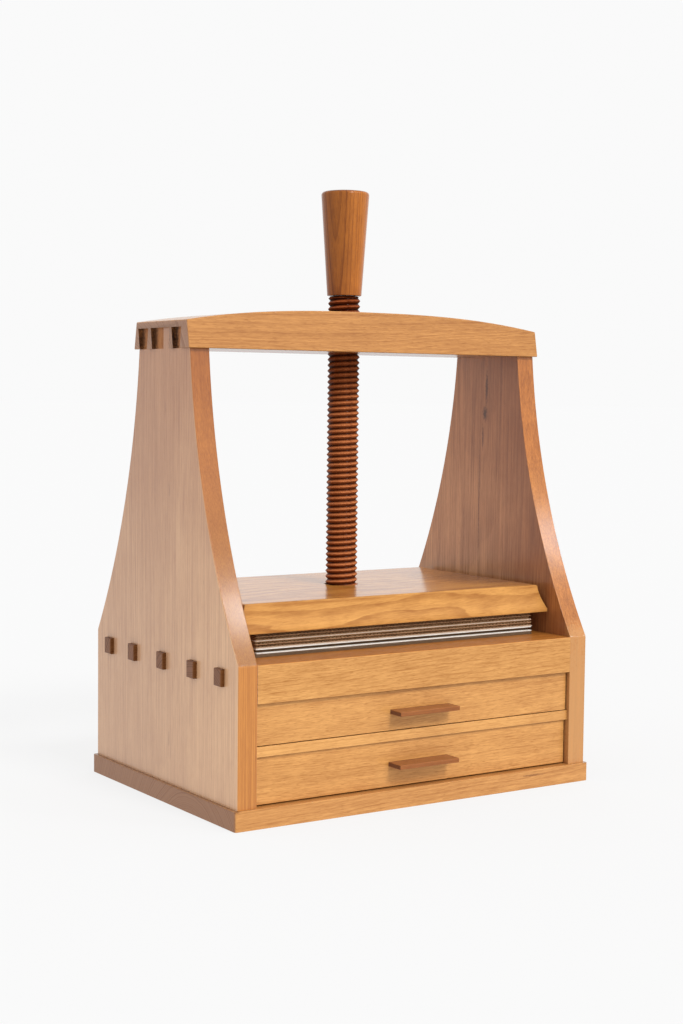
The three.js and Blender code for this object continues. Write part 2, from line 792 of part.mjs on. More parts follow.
let layerZ = bed.topZ + GLUE_GAP;
for (const { name, thickness, dx, dy, trim, kind } of stack.layers) {
  const halfX = stack.halfX - trim;
  const halfY = stack.halfY - trim;
  const sheet = box(
    [dx - halfX, dx + halfX],
    [dy - halfY, dy + halfY],
    [layerZ, layerZ + thickness],
  );
  place(name, sheet, material[kind]);
  layerZ += thickness + GLUE_GAP;
}

export default press;
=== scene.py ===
import json
import math
import random

import bmesh
import bpy
from mathutils import Euler, Matrix, Vector

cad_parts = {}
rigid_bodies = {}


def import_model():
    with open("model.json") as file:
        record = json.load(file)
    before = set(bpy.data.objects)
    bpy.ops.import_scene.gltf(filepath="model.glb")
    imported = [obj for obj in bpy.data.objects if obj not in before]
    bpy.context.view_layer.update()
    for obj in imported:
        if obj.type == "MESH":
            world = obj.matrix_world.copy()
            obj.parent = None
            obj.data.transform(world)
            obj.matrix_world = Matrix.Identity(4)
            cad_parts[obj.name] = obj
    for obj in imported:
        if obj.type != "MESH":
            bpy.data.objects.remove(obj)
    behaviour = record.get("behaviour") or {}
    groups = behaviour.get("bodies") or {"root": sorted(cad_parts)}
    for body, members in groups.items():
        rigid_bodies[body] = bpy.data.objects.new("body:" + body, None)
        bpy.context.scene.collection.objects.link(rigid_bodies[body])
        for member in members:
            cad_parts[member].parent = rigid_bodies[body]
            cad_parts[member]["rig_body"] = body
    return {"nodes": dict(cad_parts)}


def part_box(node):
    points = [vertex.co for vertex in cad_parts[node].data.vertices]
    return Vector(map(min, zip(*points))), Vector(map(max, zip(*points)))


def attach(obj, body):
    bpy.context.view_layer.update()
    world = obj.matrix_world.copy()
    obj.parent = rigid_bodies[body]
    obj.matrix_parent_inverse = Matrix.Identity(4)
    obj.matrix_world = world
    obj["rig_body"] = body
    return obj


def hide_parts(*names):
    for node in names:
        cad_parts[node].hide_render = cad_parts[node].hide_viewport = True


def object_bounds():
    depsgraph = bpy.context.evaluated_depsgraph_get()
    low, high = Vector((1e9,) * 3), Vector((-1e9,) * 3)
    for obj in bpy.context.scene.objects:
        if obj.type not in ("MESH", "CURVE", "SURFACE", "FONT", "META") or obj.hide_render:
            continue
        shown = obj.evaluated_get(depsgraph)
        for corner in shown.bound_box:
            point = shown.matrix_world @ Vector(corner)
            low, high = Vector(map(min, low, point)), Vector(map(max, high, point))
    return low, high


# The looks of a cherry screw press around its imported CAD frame. The frame is in metres.
# Lengths in this file are in millimetres, and MM turns them into metres.
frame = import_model()
cad_low, cad_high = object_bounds()
MM = 0.001

# ------------ camera and light
CAMERA_PLACE = (-901.44, -1363.39, 366.12)
CAMERA_AZIMUTH = -33.4575
CAMERA_ELEVATION = 3.922
CAMERA_ROLL = 0.62
CAMERA_LENS = 60.55
SENSOR = 36.0  # width, like the lens in millimetres

BACKDROP = 0.955  # radiance of the white studio all round
FLOOR_WHITE = 0.12
FLOOR_GLOW = 0.79  # the table glows, which keeps the shadows on it faint
FLOOR_RADIUS = 60.0
SUNS = {
    # name: azimuth to the right of the front, height above the horizon, angle, strength
    "key": (6.0, 41.0, 15.0, 1.78),
    "front": (14.0, 10.0, 50.0, 0.36),
    "side_high": (39.5, 37.0, 4.0, 0.18),
    "side_low": (46.5, 27.5, 5.0, 0.13),
}

# ------------ mesh settings
MERGE = 0.001 * MM
FLAT_ANGLE = math.radians(0.15)
EDGE_ANGLE = math.radians(33)  # sharper edges are rounded over
SMOOTH_ANGLE = math.radians(25)  # gentler edges are shaded smooth
EDGE_SEGMENTS = 4
BIG = 1e4  # past the whole press

# ------------ places in the CAD
# Edges inside the zones of the tenons, sockets and bore lie in a joint and stay sharp.
TENON_ZONE = {"y": 125.0, "low": 118.0, "high": 135.0}
SOCKET_ZONE = {"x": 171.0, "y": 46.0, "high": 423.5}
BORE_ZONE = 16.6  # radius round the Z axis
# The panels' tails inside the beam; "pale" is the part of the middle one that isn't given painted
# shade.
TAIL_ZONE = {"low": 404.35, "x": 171.0, "y": 45.5, "pale": (-18.5, 1.0)}
# The corner of the panel's outline, the reach of its curve, and the share that is kept.
KNEE = {"y": 134.7, "z": 138.8, "blend": 5.0, "share": 0.28}
PANEL_THICKNESS = 19.05
PANEL_OUTER = 190.5  # X of the right panel's outer face
PANEL_INNER = PANEL_OUTER - PANEL_THICKNESS

# ------------ press screw and handle
PITCH = 5.268
CREST_Z = 201.2  # a crest crosses the XZ plane here on the +X side
CREST_RADIUS = 15.2
ROOT_RADIUS = 13.2
THREAD_LOW, THREAD_HIGH = 181.0, 457.5
FOOT_Z = 173.0
FOOT_RADIUS = 13.2
SPIGOT_RADIUS = 7.6
SCREW_PILOT = (2.4, 202.55)  # radius and top of the foot screw's hole
TOP_SPIGOT = (10.0, 492.2)  # radius and top
SPIGOT_CHAMFER = 0.5
CHAMFER = 0.6
THREAD_ROWS = 16  # rows of vertices in one pitch
THREAD_SIDES = 72
THREAD_CRISPNESS = 0.985  # 1 gives a knife-edged V

HANDLE_BOTTOM_RADIUS = 16.2
HANDLE_EDGE = 3.2
HANDLE_FOOT_EDGE = 0.8
HANDLE_BORE = (10.1, 492.5)  # radius and top
HANDLE_SIDES = 128

# ------------ cards and papers
FLUTE_PITCH = 4.0
FLUTE_SHEET = 0.28
LINER = 0.42
SHEET_STEP = 4.0  # spacing of the points along a cut edge


def linked_object(name, data):
    made = bpy.data.objects.new(name, data)
    bpy.context.scene.collection.objects.link(made)
    return made


def direction(azimuth, elevation):
    """A unit vector; the angles are in degrees, to the right of the front and upwards."""
    a, e = math.radians(azimuth), math.radians(elevation)
    return Vector((math.sin(a) * math.cos(e), -math.cos(a) * math.cos(e), math.sin(e)))


# ------------ shader helpers
def add(tree, kind, inputs=None, **settings):
    """A new shader node; an input is a number, a colour or another node's output."""
    node = tree.nodes.new("ShaderNode" + kind)
    for name, value in settings.items():
        setattr(node, name, value)
    for key, value in (inputs or {}).items():
        if isinstance(value, bpy.types.NodeSocket):
            tree.links.new(value, node.inputs[key])
        else:
            node.inputs[key].default_value = value
    return node


def maths(tree, operation, *values, clamp=False):
    node = add(tree, "Math", dict(enumerate(values)), operation=operation, use_clamp=clamp)
    return node.outputs[0]


def vector_maths(tree, operation, *values):
    node = add(tree, "VectorMath", dict(enumerate(values)), operation=operation)
    return node.outputs["Value" if operation in ("DOT_PRODUCT", "LENGTH") else "Vector"]


def mixed(tree, factor, a, b, blend="MIX"):
    """Colour a turning into colour b as factor goes from 0 to 1."""
    node = add(tree, "Mix", {0: factor, 6: a, 7: b}, data_type="RGBA", blend_type=blend)
    return node.outputs[2]


def times(tree, a, b):
    return maths(tree, "MULTIPLY", a, b)


def ramp(tree, value, low, high, out_low=0.0, out_high=1.0):
    """A smooth step of value from low to high."""
    inputs = {0: value, 1: low, 2: high, 3: out_low, 4: out_high}
    return add(tree, "MapRange", inputs, interpolation_type="SMOOTHSTEP").outputs[0]


def lumps(tree, place, size, detail=2.0, roughness=0.5, shift=0.0):
    """Noise from 0 to 1 whose lumps have the given size along each axis."""
    scale = tuple(1 / part for part in size)
    moved = vector_maths(tree, "MULTIPLY", place, scale)
    if shift:
        moved = vector_maths(tree, "ADD", moved, (shift, shift * 0.7, -shift * 0.4))
    inputs = {"Vector": moved, "Scale": 1.0, "Detail": detail, "Roughness": roughness}
    return add(tree, "TexNoise", inputs)


def new_group(name, inputs, outputs):
    """A node group with (name, kind, default) inputs and (name, kind) outputs."""
    tree = bpy.data.node_groups.new(name, "ShaderNodeTree")
    for title, kind, default in inputs:
        socket = tree.interface.new_socket(title, in_out="INPUT", socket_type="NodeSocket" + kind)
        socket.default_value = default
    for title, kind in outputs:
        tree.interface.new_socket(title, in_out="OUTPUT", socket_type="NodeSocket" + kind)
    return tree, tree.nodes.new("NodeGroupInput"), tree.nodes.new("NodeGroupOutput")


# ------------ wood
WOOD_INPUTS = [
    ("Place", "Vector", (0, 0, 0)),  # millimetres, X along the grain, pith on the X axis
    ("Grain", "Vector", (1, 0, 0)),  # the grain's direction in the row frame
    ("Ring", "Float", 3.0),  # width of a growth ring
    ("Contrast", "Float", 0.5),  # darkness of the late wood
    ("Wave", "Float", 4.0),  # how far the rings wander
    ("Streak", "Float", 0.6),
    ("Mottle", "Float", 0.6),
    ("Thread", "Float", 0.7),
    ("Fibre", "Float", 0.9),
    ("Pores", "Float", 0.4),
    ("Light", "Color", (1, 1, 1, 1)),
    ("Dark", "Color", (0, 0, 0, 1)),
    ("Fleck", "Color", (0, 0, 0, 1)),
    ("End", "Color", (0, 0, 0, 1)),
]
WOOD_OUTPUTS = [("Color", "Color"), ("Roughness", "Float"), ("Height", "Float")]


def wood_figure():
    """Solid wood: growth rings round the pith, streaks, fibres, pores and gum flecks."""
    tree, given, result = new_group("wood_figure", WOOD_INPUTS, WOOD_OUTPUTS)
    inputs = given.outputs
    place = inputs["Place"]

    # The rings wander a little, widely along the grain and more closely across it.
    wandered = place
    swings = (((240, 75, 75), 1.5, 0.0, 3.2), ((45, 11, 11), 2.0, 3.1, 0.35))
    for size, detail, shift, reach in swings:
        swing = lumps(tree, place, size, detail, shift=shift).outputs[1]
        swing = vector_maths(tree, "SUBTRACT", swing, (0.5, 0.5, 0.5))
        swing = vector_maths(tree, "SCALE", swing)
        tree.links.new(times(tree, inputs["Wave"], reach), swing.node.inputs["Scale"])
        wandered = vector_maths(tree, "ADD", wandered, swing)
    across = vector_maths(tree, "MULTIPLY", wandered, (0, 1, 1))
    radius = vector_maths(tree, "LENGTH", across)
    years = add(tree, "TexNoise", {"W": times(tree, radius, 0.11), "Scale": 1.0,
                                   "Detail": 1.0}, noise_dimensions="1D").outputs[0]
    radius = maths(tree, "ADD", radius, times(tree, years, 7.0))
    ring = maths(tree, "DIVIDE", radius, inputs["Ring"])
    part = maths(tree, "FRACT", ring)
    year = add(tree, "TexWhiteNoise", {"W": maths(tree, "FLOOR", ring)}, noise_dimensions="1D")
    rise = ramp(tree, part, 0.25, 0.93)
    fall = ramp(tree, part, 0.94, 1.0, 1.0, 0.0)
    late = times(tree, maths(tree, "POWER", rise, 2.2), fall)
    strength = maths(tree, "MULTIPLY_ADD", year.outputs[0], 0.75, 0.25)
    late = times(tree, late, strength)

    # Long streaks, cloudy patches, threads and fibres along the grain.
    layers = {
        "Streak": lumps(tree, wandered, (330, 7, 7), 3.0, 0.6, 1.7),
        "Mottle": lumps(tree, wandered, (34, 15, 15), 3.0, 0.6, 2.9),
        "Thread": lumps(tree, place, (240, 0.95, 0.95), 2.0, 0.65, 9.7),
        "Fibre": lumps(tree, place, (11, 0.55, 0.55), 2.0, 0.6, 5.3),
    }
    tone = maths(tree, "MULTIPLY_ADD", late, inputs["Contrast"], 0.3)
    for title, noise in layers.items():
        centred = maths(tree, "SUBTRACT", noise.outputs[0], 0.5)
        tone = maths(tree, "ADD", tone, times(tree, centred, inputs[title]))
    fibre = layers["Fibre"].outputs[0]
    tone = maths(tree, "ADD", tone, 0.0, clamp=True)
    colour = mixed(tree, tone, inputs["Light"], inputs["Dark"])

    # Pores are short thin dashes; gum flecks are longer, rarer and darker.
    pore = lumps(tree, place, (6.5, 0.75, 0.75), detail=1.0, shift=7.9).outputs[0]
    pore = ramp(tree, pore, 0.56, 0.74)
    gum = lumps(tree, wandered, (16, 1.1, 1.1), detail=1.0, shift=12.3).outputs[0]
    gum = ramp(tree, gum, 0.74, 0.84)
    colour = mixed(tree, times(tree, pore, inputs["Pores"]), colour, inputs["Dark"])
    colour = mixed(tree, times(tree, gum, 0.3), colour, inputs["Fleck"])

    # Cut across, the wood takes its end tone, with the rings still showing.
    normal = add(tree, "TexCoord").outputs["Normal"]
    facing = vector_maths(tree, "DOT_PRODUCT", normal, inputs["Grain"])
    end = ramp(tree, maths(tree, "ABSOLUTE", facing), 0.55, 0.95)
    rings = times(tree, late, 0.8)
    end_colour = mixed(tree, rings, inputs["End"], inputs["Fleck"])
    dots = lumps(tree, place, (3, 0.5, 0.5), detail=2.0, roughness=0.7).outputs[0]
    end_colour = mixed(tree, times(tree, ramp(tree, dots, 0.42, 0.62), 0.28),
                       end_colour, inputs["Dark"])
    colour = mixed(tree, times(tree, end, 0.92), colour, end_colour)

    # Rounded arrises are handled and rubbed, so they are a little paler here and there.
    arris = add(tree, "Attribute", attribute_name="arris").outputs["Fac"]
    rubbed = lumps(tree, place, (18, 9, 9), detail=3.0, shift=4.4).outputs[0]
    rubbed = times(tree, arris, ramp(tree, rubbed, 0.35, 0.7, 0.12, 0.5))
    colour = mixed(tree, rubbed, colour, inputs["Light"])

    height = maths(tree, "MULTIPLY_ADD", fibre, 0.5, times(tree, late, 0.25))
    height = maths(tree, "SUBTRACT", height, times(tree, pore, 0.3))
    rough = maths(tree, "MULTIPLY_ADD", fibre, 0.12, 0.36)
    rough = maths(tree, "ADD", rough, times(tree, end, 0.16))
    rough = maths(tree, "ADD", rough, times(tree, pore, 0.1))
    rough = maths(tree, "SUBTRACT", rough, times(tree, rubbed, 0.12), clamp=True)
    tree.links.new(colour, result.inputs["Color"])
    tree.links.new(rough, result.inputs["Roughness"])
    tree.links.new(height, result.inputs["Height"])
    return tree


# Turns the row frame so that X runs along the grain.
GRAIN_TURNS = {
    "x": (Matrix.Identity(3), (1, 0, 0)),
    "y": (Euler((0, 0, math.radians(-90))).to_matrix(), (0, 1, 0)),
    "z": (Euler((0, math.radians(90), 0)).to_matrix(), (0, 0, 1)),
}
CHERRY = dict(light=(0.59, 0.298, 0.096), dark=(0.31, 0.120, 0.027),
              fleck=(0.13, 0.040, 0.012), end=(0.27, 0.130, 0.075))
# Pale, pinkish cherry for the left panel: painted sheen, the pale reflection on its outer face.
SHEEN_PALE_CHERRY = dict(light=(0.68, 0.415, 0.235), dark=(0.43, 0.222, 0.128),
                   fleck=(0.20, 0.085, 0.045), end=(0.27, 0.130, 0.075))
RED_CHERRY = dict(light=(0.67, 0.342, 0.162), dark=(0.27, 0.105, 0.040),
                  fleck=(0.10, 0.034, 0.014), end=(0.24, 0.105, 0.055))
FIGURE = wood_figure()


def in_row_frame(tree):
    """Object coordinates, which are the row frame's at rest, in metres."""
    return add(tree, "TexCoord").outputs["Object"]


def grain_place(tree, grain, pith, tilt):
    """Millimetres with X along the grain and the pith, a point in the row frame, on X."""
    turn = Euler([math.radians(part) for part in (0, *tilt)]).to_matrix() @ GRAIN_TURNS[grain][0]
    return add(tree, "Mapping", {
        "Vector": in_row_frame(tree),
        "Location": -(turn @ Vector(pith)),
        "Rotation": turn.to_euler(),
        "Scale": (1 / MM,) * 3,
    }).outputs[0]


def new_material(name):
    material = bpy.data.materials.new(name)
    material.use_nodes = True
    material.node_tree.nodes.clear()
    return material, material.node_tree


def principled(tree, colour, roughness, height, bump, **sockets):
    """A Principled shader on its output; bump is a strength and a distance in millimetres."""
    shader = add(tree, "BsdfPrincipled", {"Base Color": colour, "Roughness": roughness})
    for title, value in sockets.items():
        shader.inputs[title.replace("_", " ")].default_value = value
    if bump:
        strength, distance = bump
        bumped = add(tree, "Bump", {"Strength": strength, "Distance": distance * MM,
                                    "Height": height})
        tree.links.new(bumped.outputs[0], shader.inputs["Normal"])
    output = tree.nodes.new("ShaderNodeOutputMaterial")
    tree.links.new(shader.outputs[0], output.inputs[0])


def noise_of(tree, size, detail=2.0, roughness=0.5, shift=0.0):
    """Noise in the row frame; size is in millimetres."""
    return lumps(tree, in_row_frame(tree), [part * MM for part in size], detail, roughness,
                 shift).outputs[0]


def wood(name, grain, pith, tilt=(0.8, 0.8), tones=CHERRY, tint=(1, 1, 1), marks=(), drift=(),
         coat=0.9, coat_roughness=0.2, coat_ior=1.22, specular=0.2, sheen=0.0, **figure):
    """Oiled and waxed solid wood with its own place in the log.

    figure sets inputs of the wood_figure group, which has defaults for the rest. drift and
    marks are lists of what drifted and marked take.
    """
    material, tree = new_material(name)
    group = tree.nodes.new("ShaderNodeGroup")
    group.node_tree = FIGURE
    tree.links.new(grain_place(tree, grain, pith, tilt), group.inputs["Place"])
    group.inputs["Grain"].default_value = GRAIN_TURNS[grain][1]
    for title, value in figure.items():
        group.inputs[title.capitalize()].default_value = value
    for title in ("light", "dark", "fleck"):
        colour = [part * share for part, share in zip(tones[title], tint)]
        group.inputs[title.capitalize()].default_value = (*colour, 1)
    group.inputs["End"].default_value = (*tones["end"], 1)
    colour = group.outputs["Color"]
    for shading in drift:
        colour = drifted(tree, colour, *shading)
    for centre, size, strength, *tone in marks:
        colour = marked(tree, colour, centre, size, strength, *(tone or [tones["fleck"]]))
    principled(tree, colour, group.outputs["Roughness"], group.outputs["Height"], (0.2, 0.05),
               IOR=1.5, Specular_IOR_Level=specular, Coat_Weight=coat,
               Coat_Roughness=coat_roughness, Coat_IOR=coat_ior, Sheen_Weight=sheen,
               Sheen_Roughness=0.3)
    return material


# Most drifts in this script paint light or shade into the colour.
def drifted(tree, colour, kind, axis, low, high, shade):
    """Multiplies the colour by shade, gradually as something goes from low to high.

    It is the "place" along an axis of the row frame, the "radius" from the Z axis, how far
    the surface turns towards the axis ("under"), or that without its sign ("facing").
    """
    if kind == "place":
        wobble = maths(tree, "SUBTRACT", noise_of(tree, (60, 60, 60)), 0.5)
        share = add(tree, "SeparateXYZ", {0: in_row_frame(tree)}).outputs[axis]
        share = maths(tree, "ADD", share, times(tree, wobble, 0.4 * (high - low) * MM))
        share = ramp(tree, share, low * MM, high * MM)
    elif kind == "radius":
        flat = vector_maths(tree, "MULTIPLY", in_row_frame(tree), (1, 1, 0))
        share = ramp(tree, vector_maths(tree, "LENGTH", flat), low * MM, high * MM)
    else:
        normal = add(tree, "TexCoord").outputs["Normal"]
        share = add(tree, "SeparateXYZ", {0: normal}).outputs[axis]
        if kind == "facing":
            share = maths(tree, "ABSOLUTE", share)
        share = ramp(tree, share, low, high)
    return mixed(tree, share, colour, mixed(tree, 1.0, colour, (*shade, 1), "MULTIPLY"))


def marked(tree, colour, centre, size, strength, tone):
    """Tones the colour round one point: a pin knot, a gum streak, a stain or a painted shade of
    that size.
    """
    away = vector_maths(tree, "SUBTRACT", in_row_frame(tree), [part * MM for part in centre])
    ragged = lumps(tree, in_row_frame(tree), [2.5 * MM] * 3, detail=2.0).outputs[1]
    ragged = vector_maths(tree, "SUBTRACT", ragged, (0.5, 0.5, 0.5))
    ragged = vector_maths(tree, "MULTIPLY", ragged, [0.9 * part * MM for part in size])
    away = vector_maths(tree, "ADD", away, ragged)
    away = vector_maths(tree, "MULTIPLY", away, [1 / (part * MM) for part in size])
    near = ramp(tree, vector_maths(tree, "LENGTH", away), 0.15, 1.0, strength, 0.0)
    return mixed(tree, near, colour, (*tone, 1))


# ------------ other materials
def simple_material(name, look, bump=None, **sockets):
    """look(tree) gives the nodes of the colour, the roughness and the height."""
    material, tree = new_material(name)
    principled(tree, *look(tree), bump, **sockets)
    return material


def metal(name, bright, dull):
    """Turned metal with fine scratches and a little tarnish."""
    def look(tree):
        tarnish = ramp(tree, noise_of(tree, (4, 4, 4), 4.0), 0.4, 0.7)
        roughness = maths(tree, "MULTIPLY_ADD", noise_of(tree, (0.3, 3, 0.3)), 0.25, 0.16)
        return mixed(tree, tarnish, bright, dull), roughness, noise_of(tree, (0.15, 4, 0.15))
    return simple_material(name, look, (0.25, 0.03), Metallic=1.0)


def paper_material(name, light, dark):
    """Unsized blotting paper: matt, with a soft tooth and faint foxing."""
    def look(tree):
        tooth = ramp(tree, noise_of(tree, (0.5, 0.5, 0.25), 3.0, 0.7), 0.3, 0.75)
        base = mixed(tree, tooth, light, dark)
        foxed = ramp(tree, noise_of(tree, (30, 30, 30), 3.0), 0.5, 0.8)
        colour = mixed(tree, times(tree, foxed, 0.4), base, (0.60, 0.50, 0.38, 1))
        roughness = maths(tree, "MULTIPLY_ADD", noise_of(tree, (1, 1, 1)), 0.1, 0.85)
        return colour, roughness, noise_of(tree, (0.45, 0.45, 0.2), 3.0, 0.7)
    return simple_material(name, look, (0.5, 0.12))


def board_material(name, light, dark, grey):
    """Recycled brown board: mixed fibres, darker specks and a dusty surface."""
    def look(tree):
        fibres = ramp(tree, noise_of(tree, (2.6, 1.4, 0.22), 3.0, 0.75), 0.3, 0.72)
        base = mixed(tree, fibres, light, dark)
        specks = ramp(tree, noise_of(tree, (0.7, 0.7, 0.4), 2.0, 0.6, 4.0), 0.62, 0.74)
        base = mixed(tree, times(tree, specks, 0.5), base, grey)
        soiled = ramp(tree, noise_of(tree, (22, 22, 3), 3.0, 0.6, 8.0), 0.42, 0.75)
        colour = mixed(tree, times(tree, soiled, 0.45), base, dark)
        roughness = maths(tree, "MULTIPLY_ADD", noise_of(tree, (2, 2, 1)), 0.12, 0.84)
        return colour, roughness, noise_of(tree, (1.8, 1.0, 0.2), 3.0, 0.75)
    return simple_material(name, look, (0.6, 0.2))


def thread_material():
    """The same wood as the rest but darker, and darker again in the thread's roots; painted shade
    darkens its lower flanks and its top under the beam.
    """
    tones = dict(light=(0.54, 0.180, 0.062), dark=(0.24, 0.068, 0.022),
                 fleck=(0.05, 0.016, 0.008), end=(0.14, 0.055, 0.030))
    drift = [
        # Painted shade under the beam: darker towards the top.
        ("place", 2, 340, 430, (0.52, 0.38, 0.30)),
        ("radius", 2, 14.6, 13.3, (0.16, 0.10, 0.085)),
        # Painted shade: the thread's lower flanks, which face down, are darker.
        ("under", 2, 0.1, -0.5, (0.50, 0.42, 0.38)),
    ]
    return wood("screw_wood", "z", (30, 24, 300), ring=2.6, wave=2.0, streak=0.8, mottle=0.5,
                tones=tones, drift=drift, coat=0.3, coat_roughness=0.25, coat_ior=1.3,
                specular=0.0)


# ------------ mesh helpers
def finish_mesh(bm, name, material):
    """Writes the mesh, shaded smooth except at its sharp edges."""
    mesh = bpy.data.meshes.new(name)
    bm.normal_update()
    bm.to_mesh(mesh)
    bm.free()
    mesh.materials.append(material)
    mesh.shade_smooth()
    mesh.set_sharp_from_angle(angle=SMOOTH_ANGLE)
    return mesh


def shown_piece(node, mesh):
    """A shown piece that stands for one CAD node and rides on that node's body."""
    piece = linked_object(mesh.name, mesh)
    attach(piece, frame["nodes"][node]["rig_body"])
    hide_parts(node)
    return piece


def box_mm(node):
    """The CAD node's lowest and highest corner in millimetres."""
    low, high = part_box(node)
    return low / MM, high / MM


def cad_copy(node):
    """The CAD node's solid with its flat faces whole, ready to be rounded over."""
    bm = bmesh.new()
    bm.from_mesh(frame["nodes"][node].data)
    bmesh.ops.remove_doubles(bm, verts=bm.verts[:], dist=MERGE)
    bmesh.ops.dissolve_limit(bm, angle_limit=FLAT_ANGLE, verts=bm.verts[:], edges=bm.edges[:],
                             use_dissolve_boundaries=False)
    bmesh.ops.recalc_face_normals(bm, faces=bm.faces[:])
    bm.faces.layers.float.new("arris")
    return bm


def round_over(bm, radius, chosen, segments=EDGE_SEGMENTS):
    """Rounds the sharp outer edges whose two ends, in millimetres, pass the test."""
    edges = []
    for edge in bm.edges:
        if not edge.is_manifold or not edge.is_convex:
            continue
        if edge.calc_face_angle(0) < EDGE_ANGLE:
            continue
        if chosen(*(vert.co / MM for vert in edge.verts)):
            edges.append(edge)
    if not edges:
        return
    made = bmesh.ops.bevel(bm, geom=edges, offset=radius * MM, offset_type="OFFSET",
                           segments=segments, profile=0.5, affect="EDGES",
                           clamp_overlap=True, loop_slide=True)
    arris = bm.faces.layers.float["arris"]
    for face in made["faces"]:
        face[arris] = 1.0


def outside(zones):
    """A test that passes an edge unless both its ends lie in one (low, high) zone."""
    def within(point, zone):
        low, high = zone
        return all(low[axis] <= point[axis] <= high[axis] for axis in range(3))

    def chosen(a, b):
        return not any(within(a, zone) and within(b, zone) for zone in zones)
    return chosen


def near_box_edges(node, reach=1.5):
    """A test that passes an edge lying along an edge of the node's own box."""
    low, high = box_mm(node)

    def sides(point):
        return {axis for axis in range(3)
                if min(abs(point[axis] - low[axis]), abs(point[axis] - high[axis])) < reach}

    def chosen(a, b):
        return len(sides(a) & sides(b)) >= 2
    return chosen


def board_piece(node, material, roundings, shape=None, inlay=None):
    """A softened copy of a CAD board. roundings are (radius, test, segments) in turn.

    inlay is a second material and a function that gives it to some of the faces.
    """
    bm = cad_copy(node)
    if shape:
        shape(bm)
    for radius, chosen, segments in roundings:
        round_over(bm, radius, chosen, segments)
    if inlay:
        bm.normal_update()
        inlay[1](bm)
    mesh = finish_mesh(bm, node + "_finished", material)
    if inlay:
        mesh.materials.append(inlay[0])
    piece = shown_piece(node, mesh)
    weighted = piece.modifiers.new("flat_faces", "WEIGHTED_NORMAL")
    weighted.keep_sharp = True
    return piece


def plain_board(node, material, radius):
    return board_piece(node, material, [(radius, near_box_edges(node), 3)])


def slab_zone(axis, low, high):
    """Everything between two planes."""
    lows, highs = [-BIG] * 3, [BIG] * 3
    lows[axis], highs[axis] = low, high
    return lows, highs


def column_zone(x, y, half):
    return (x - half, y - half, -BIG), (x + half, y + half, BIG)


# ------------ frame of the press
def base_board():
    low, high = box_mm("base_board")
    margin = 4.0
    inner = ((low.x + margin, low.y + margin, -BIG), (high.x - margin, high.y - margin, BIG))
    chip = ((126, low.y, 12.6), (19, 4, 1.5), 0.7)
    # Painted shade: a dark line along the base's top beside each panel, where panel and base meet.
    ledge_shade = [((side * (PANEL_OUTER + 1), 0, high.z + 1), (6, 900, 2.6), strength)
              for side, strength in ((-1, 0.9), (1, 0.6))]
    material = wood("base_wood", "x", (20, -60, -45), ring=2.2, tilt=(0.9, 1.2), contrast=0.32,
                    fibre=1.1, thread=0.9, tones=dict(CHERRY, end=(0.275, 0.135, 0.075)),
                    tint=(0.98, 0.93, 0.90), marks=[chip, *ledge_shade])
    board_piece("base_board", material, [(1.0, outside([inner]), EDGE_SEGMENTS)])


def socket_shade_wood():
    """Dark wood for the tails' ends and the sockets' walls.

    They lie only a few millimetres deep, so the colour is painted shade that stands in for their
    depth.
    """
    tones = dict(light=(0.44, 0.180, 0.062), dark=(0.22, 0.080, 0.026),
                 fleck=(0.030, 0.012, 0.007), end=(0.20, 0.085, 0.040))
    # Painted shade: darker bands at the three sockets.
    darker = [((0, y, 413), (800, 8, 40), strength)
              for y, strength in ((41, 0.9), (17, 0.9), (-23, 1.0))]
    return wood("socket_shade_wood", "z", (0, 60, 400), ring=2.4, contrast=0.4, tones=tones,
                marks=darker, coat=0.0, specular=0.1)


def dark_tail_ends(bm):
    """Gives the second material, the painted shade, to the ends of the tails, but for half of the
    middle one.
    """
    pale_low, pale_high = TAIL_ZONE["pale"]
    plane = Vector((0, 0, TAIL_ZONE["low"])) * MM
    bmesh.ops.bisect_plane(bm, geom=bm.verts[:] + bm.edges[:] + bm.faces[:], dist=MERGE,
                           plane_co=plane, plane_no=(0, 0, 1))
    tails = [face for face in bm.faces if face.calc_center_median().z > plane.z + MERGE]
    edges = {edge for face in tails for edge in face.edges}
    verts = {vert for face in tails for vert in face.verts}
    bmesh.ops.bisect_plane(bm, geom=[*verts, *edges, *tails], dist=MERGE,
                           plane_co=Vector((0, pale_high, 0)) * MM, plane_no=(0, 1, 0))
    for face in bm.faces:
        centre = face.calc_center_median() / MM
        if centre.z > TAIL_ZONE["low"] and not pale_low < centre.y < pale_high:
            face.material_index = 1


def dark_sockets(bm):
    """Gives the second material, the painted shade, to the walls of the beam's dovetail sockets."""
    for face in bm.faces:
        centre = face.calc_center_median() / MM
        inside = abs(centre.x) > TAIL_ZONE["x"] and abs(centre.y) < TAIL_ZONE["y"]
        if inside and centre.z > TAIL_ZONE["low"] + 1 and abs(face.normal.x) < 0.5:
            face.material_index = int(centre.z < SOCKET_ZONE["high"])


def side_panel(node, material, inlay):
    low, high = box_mm(node)
    depth = 0.9 * PANEL_THICKNESS  # just short of the other face
    inner_low = low.x + depth if low.x < 0 else -BIG
    inner_high = BIG if low.x < 0 else high.x - depth
    divider_low, divider_high = box_mm("drawer_divider")
    back_low, back_high = box_mm("back_panel")
    zones = [
        slab_zone(2, -BIG, box_mm("base_board")[1].z + 0.2),
        slab_zone(2, box_mm("top_beam")[0].z - 0.2, BIG),
        ((-BIG, -TENON_ZONE["y"], TENON_ZONE["low"]), (BIG, TENON_ZONE["y"], TENON_ZONE["high"])),
        slab_zone(2, divider_low.z - 0.5, divider_high.z + 0.5),
        ((inner_low, back_low.y - 1, -BIG), (inner_high, BIG, back_high.z + 1)),
    ]
    board_piece(node, material, [(1.0, outside(zones), EDGE_SEGMENTS)], crisp_knee,
                (inlay, dark_tail_ends))


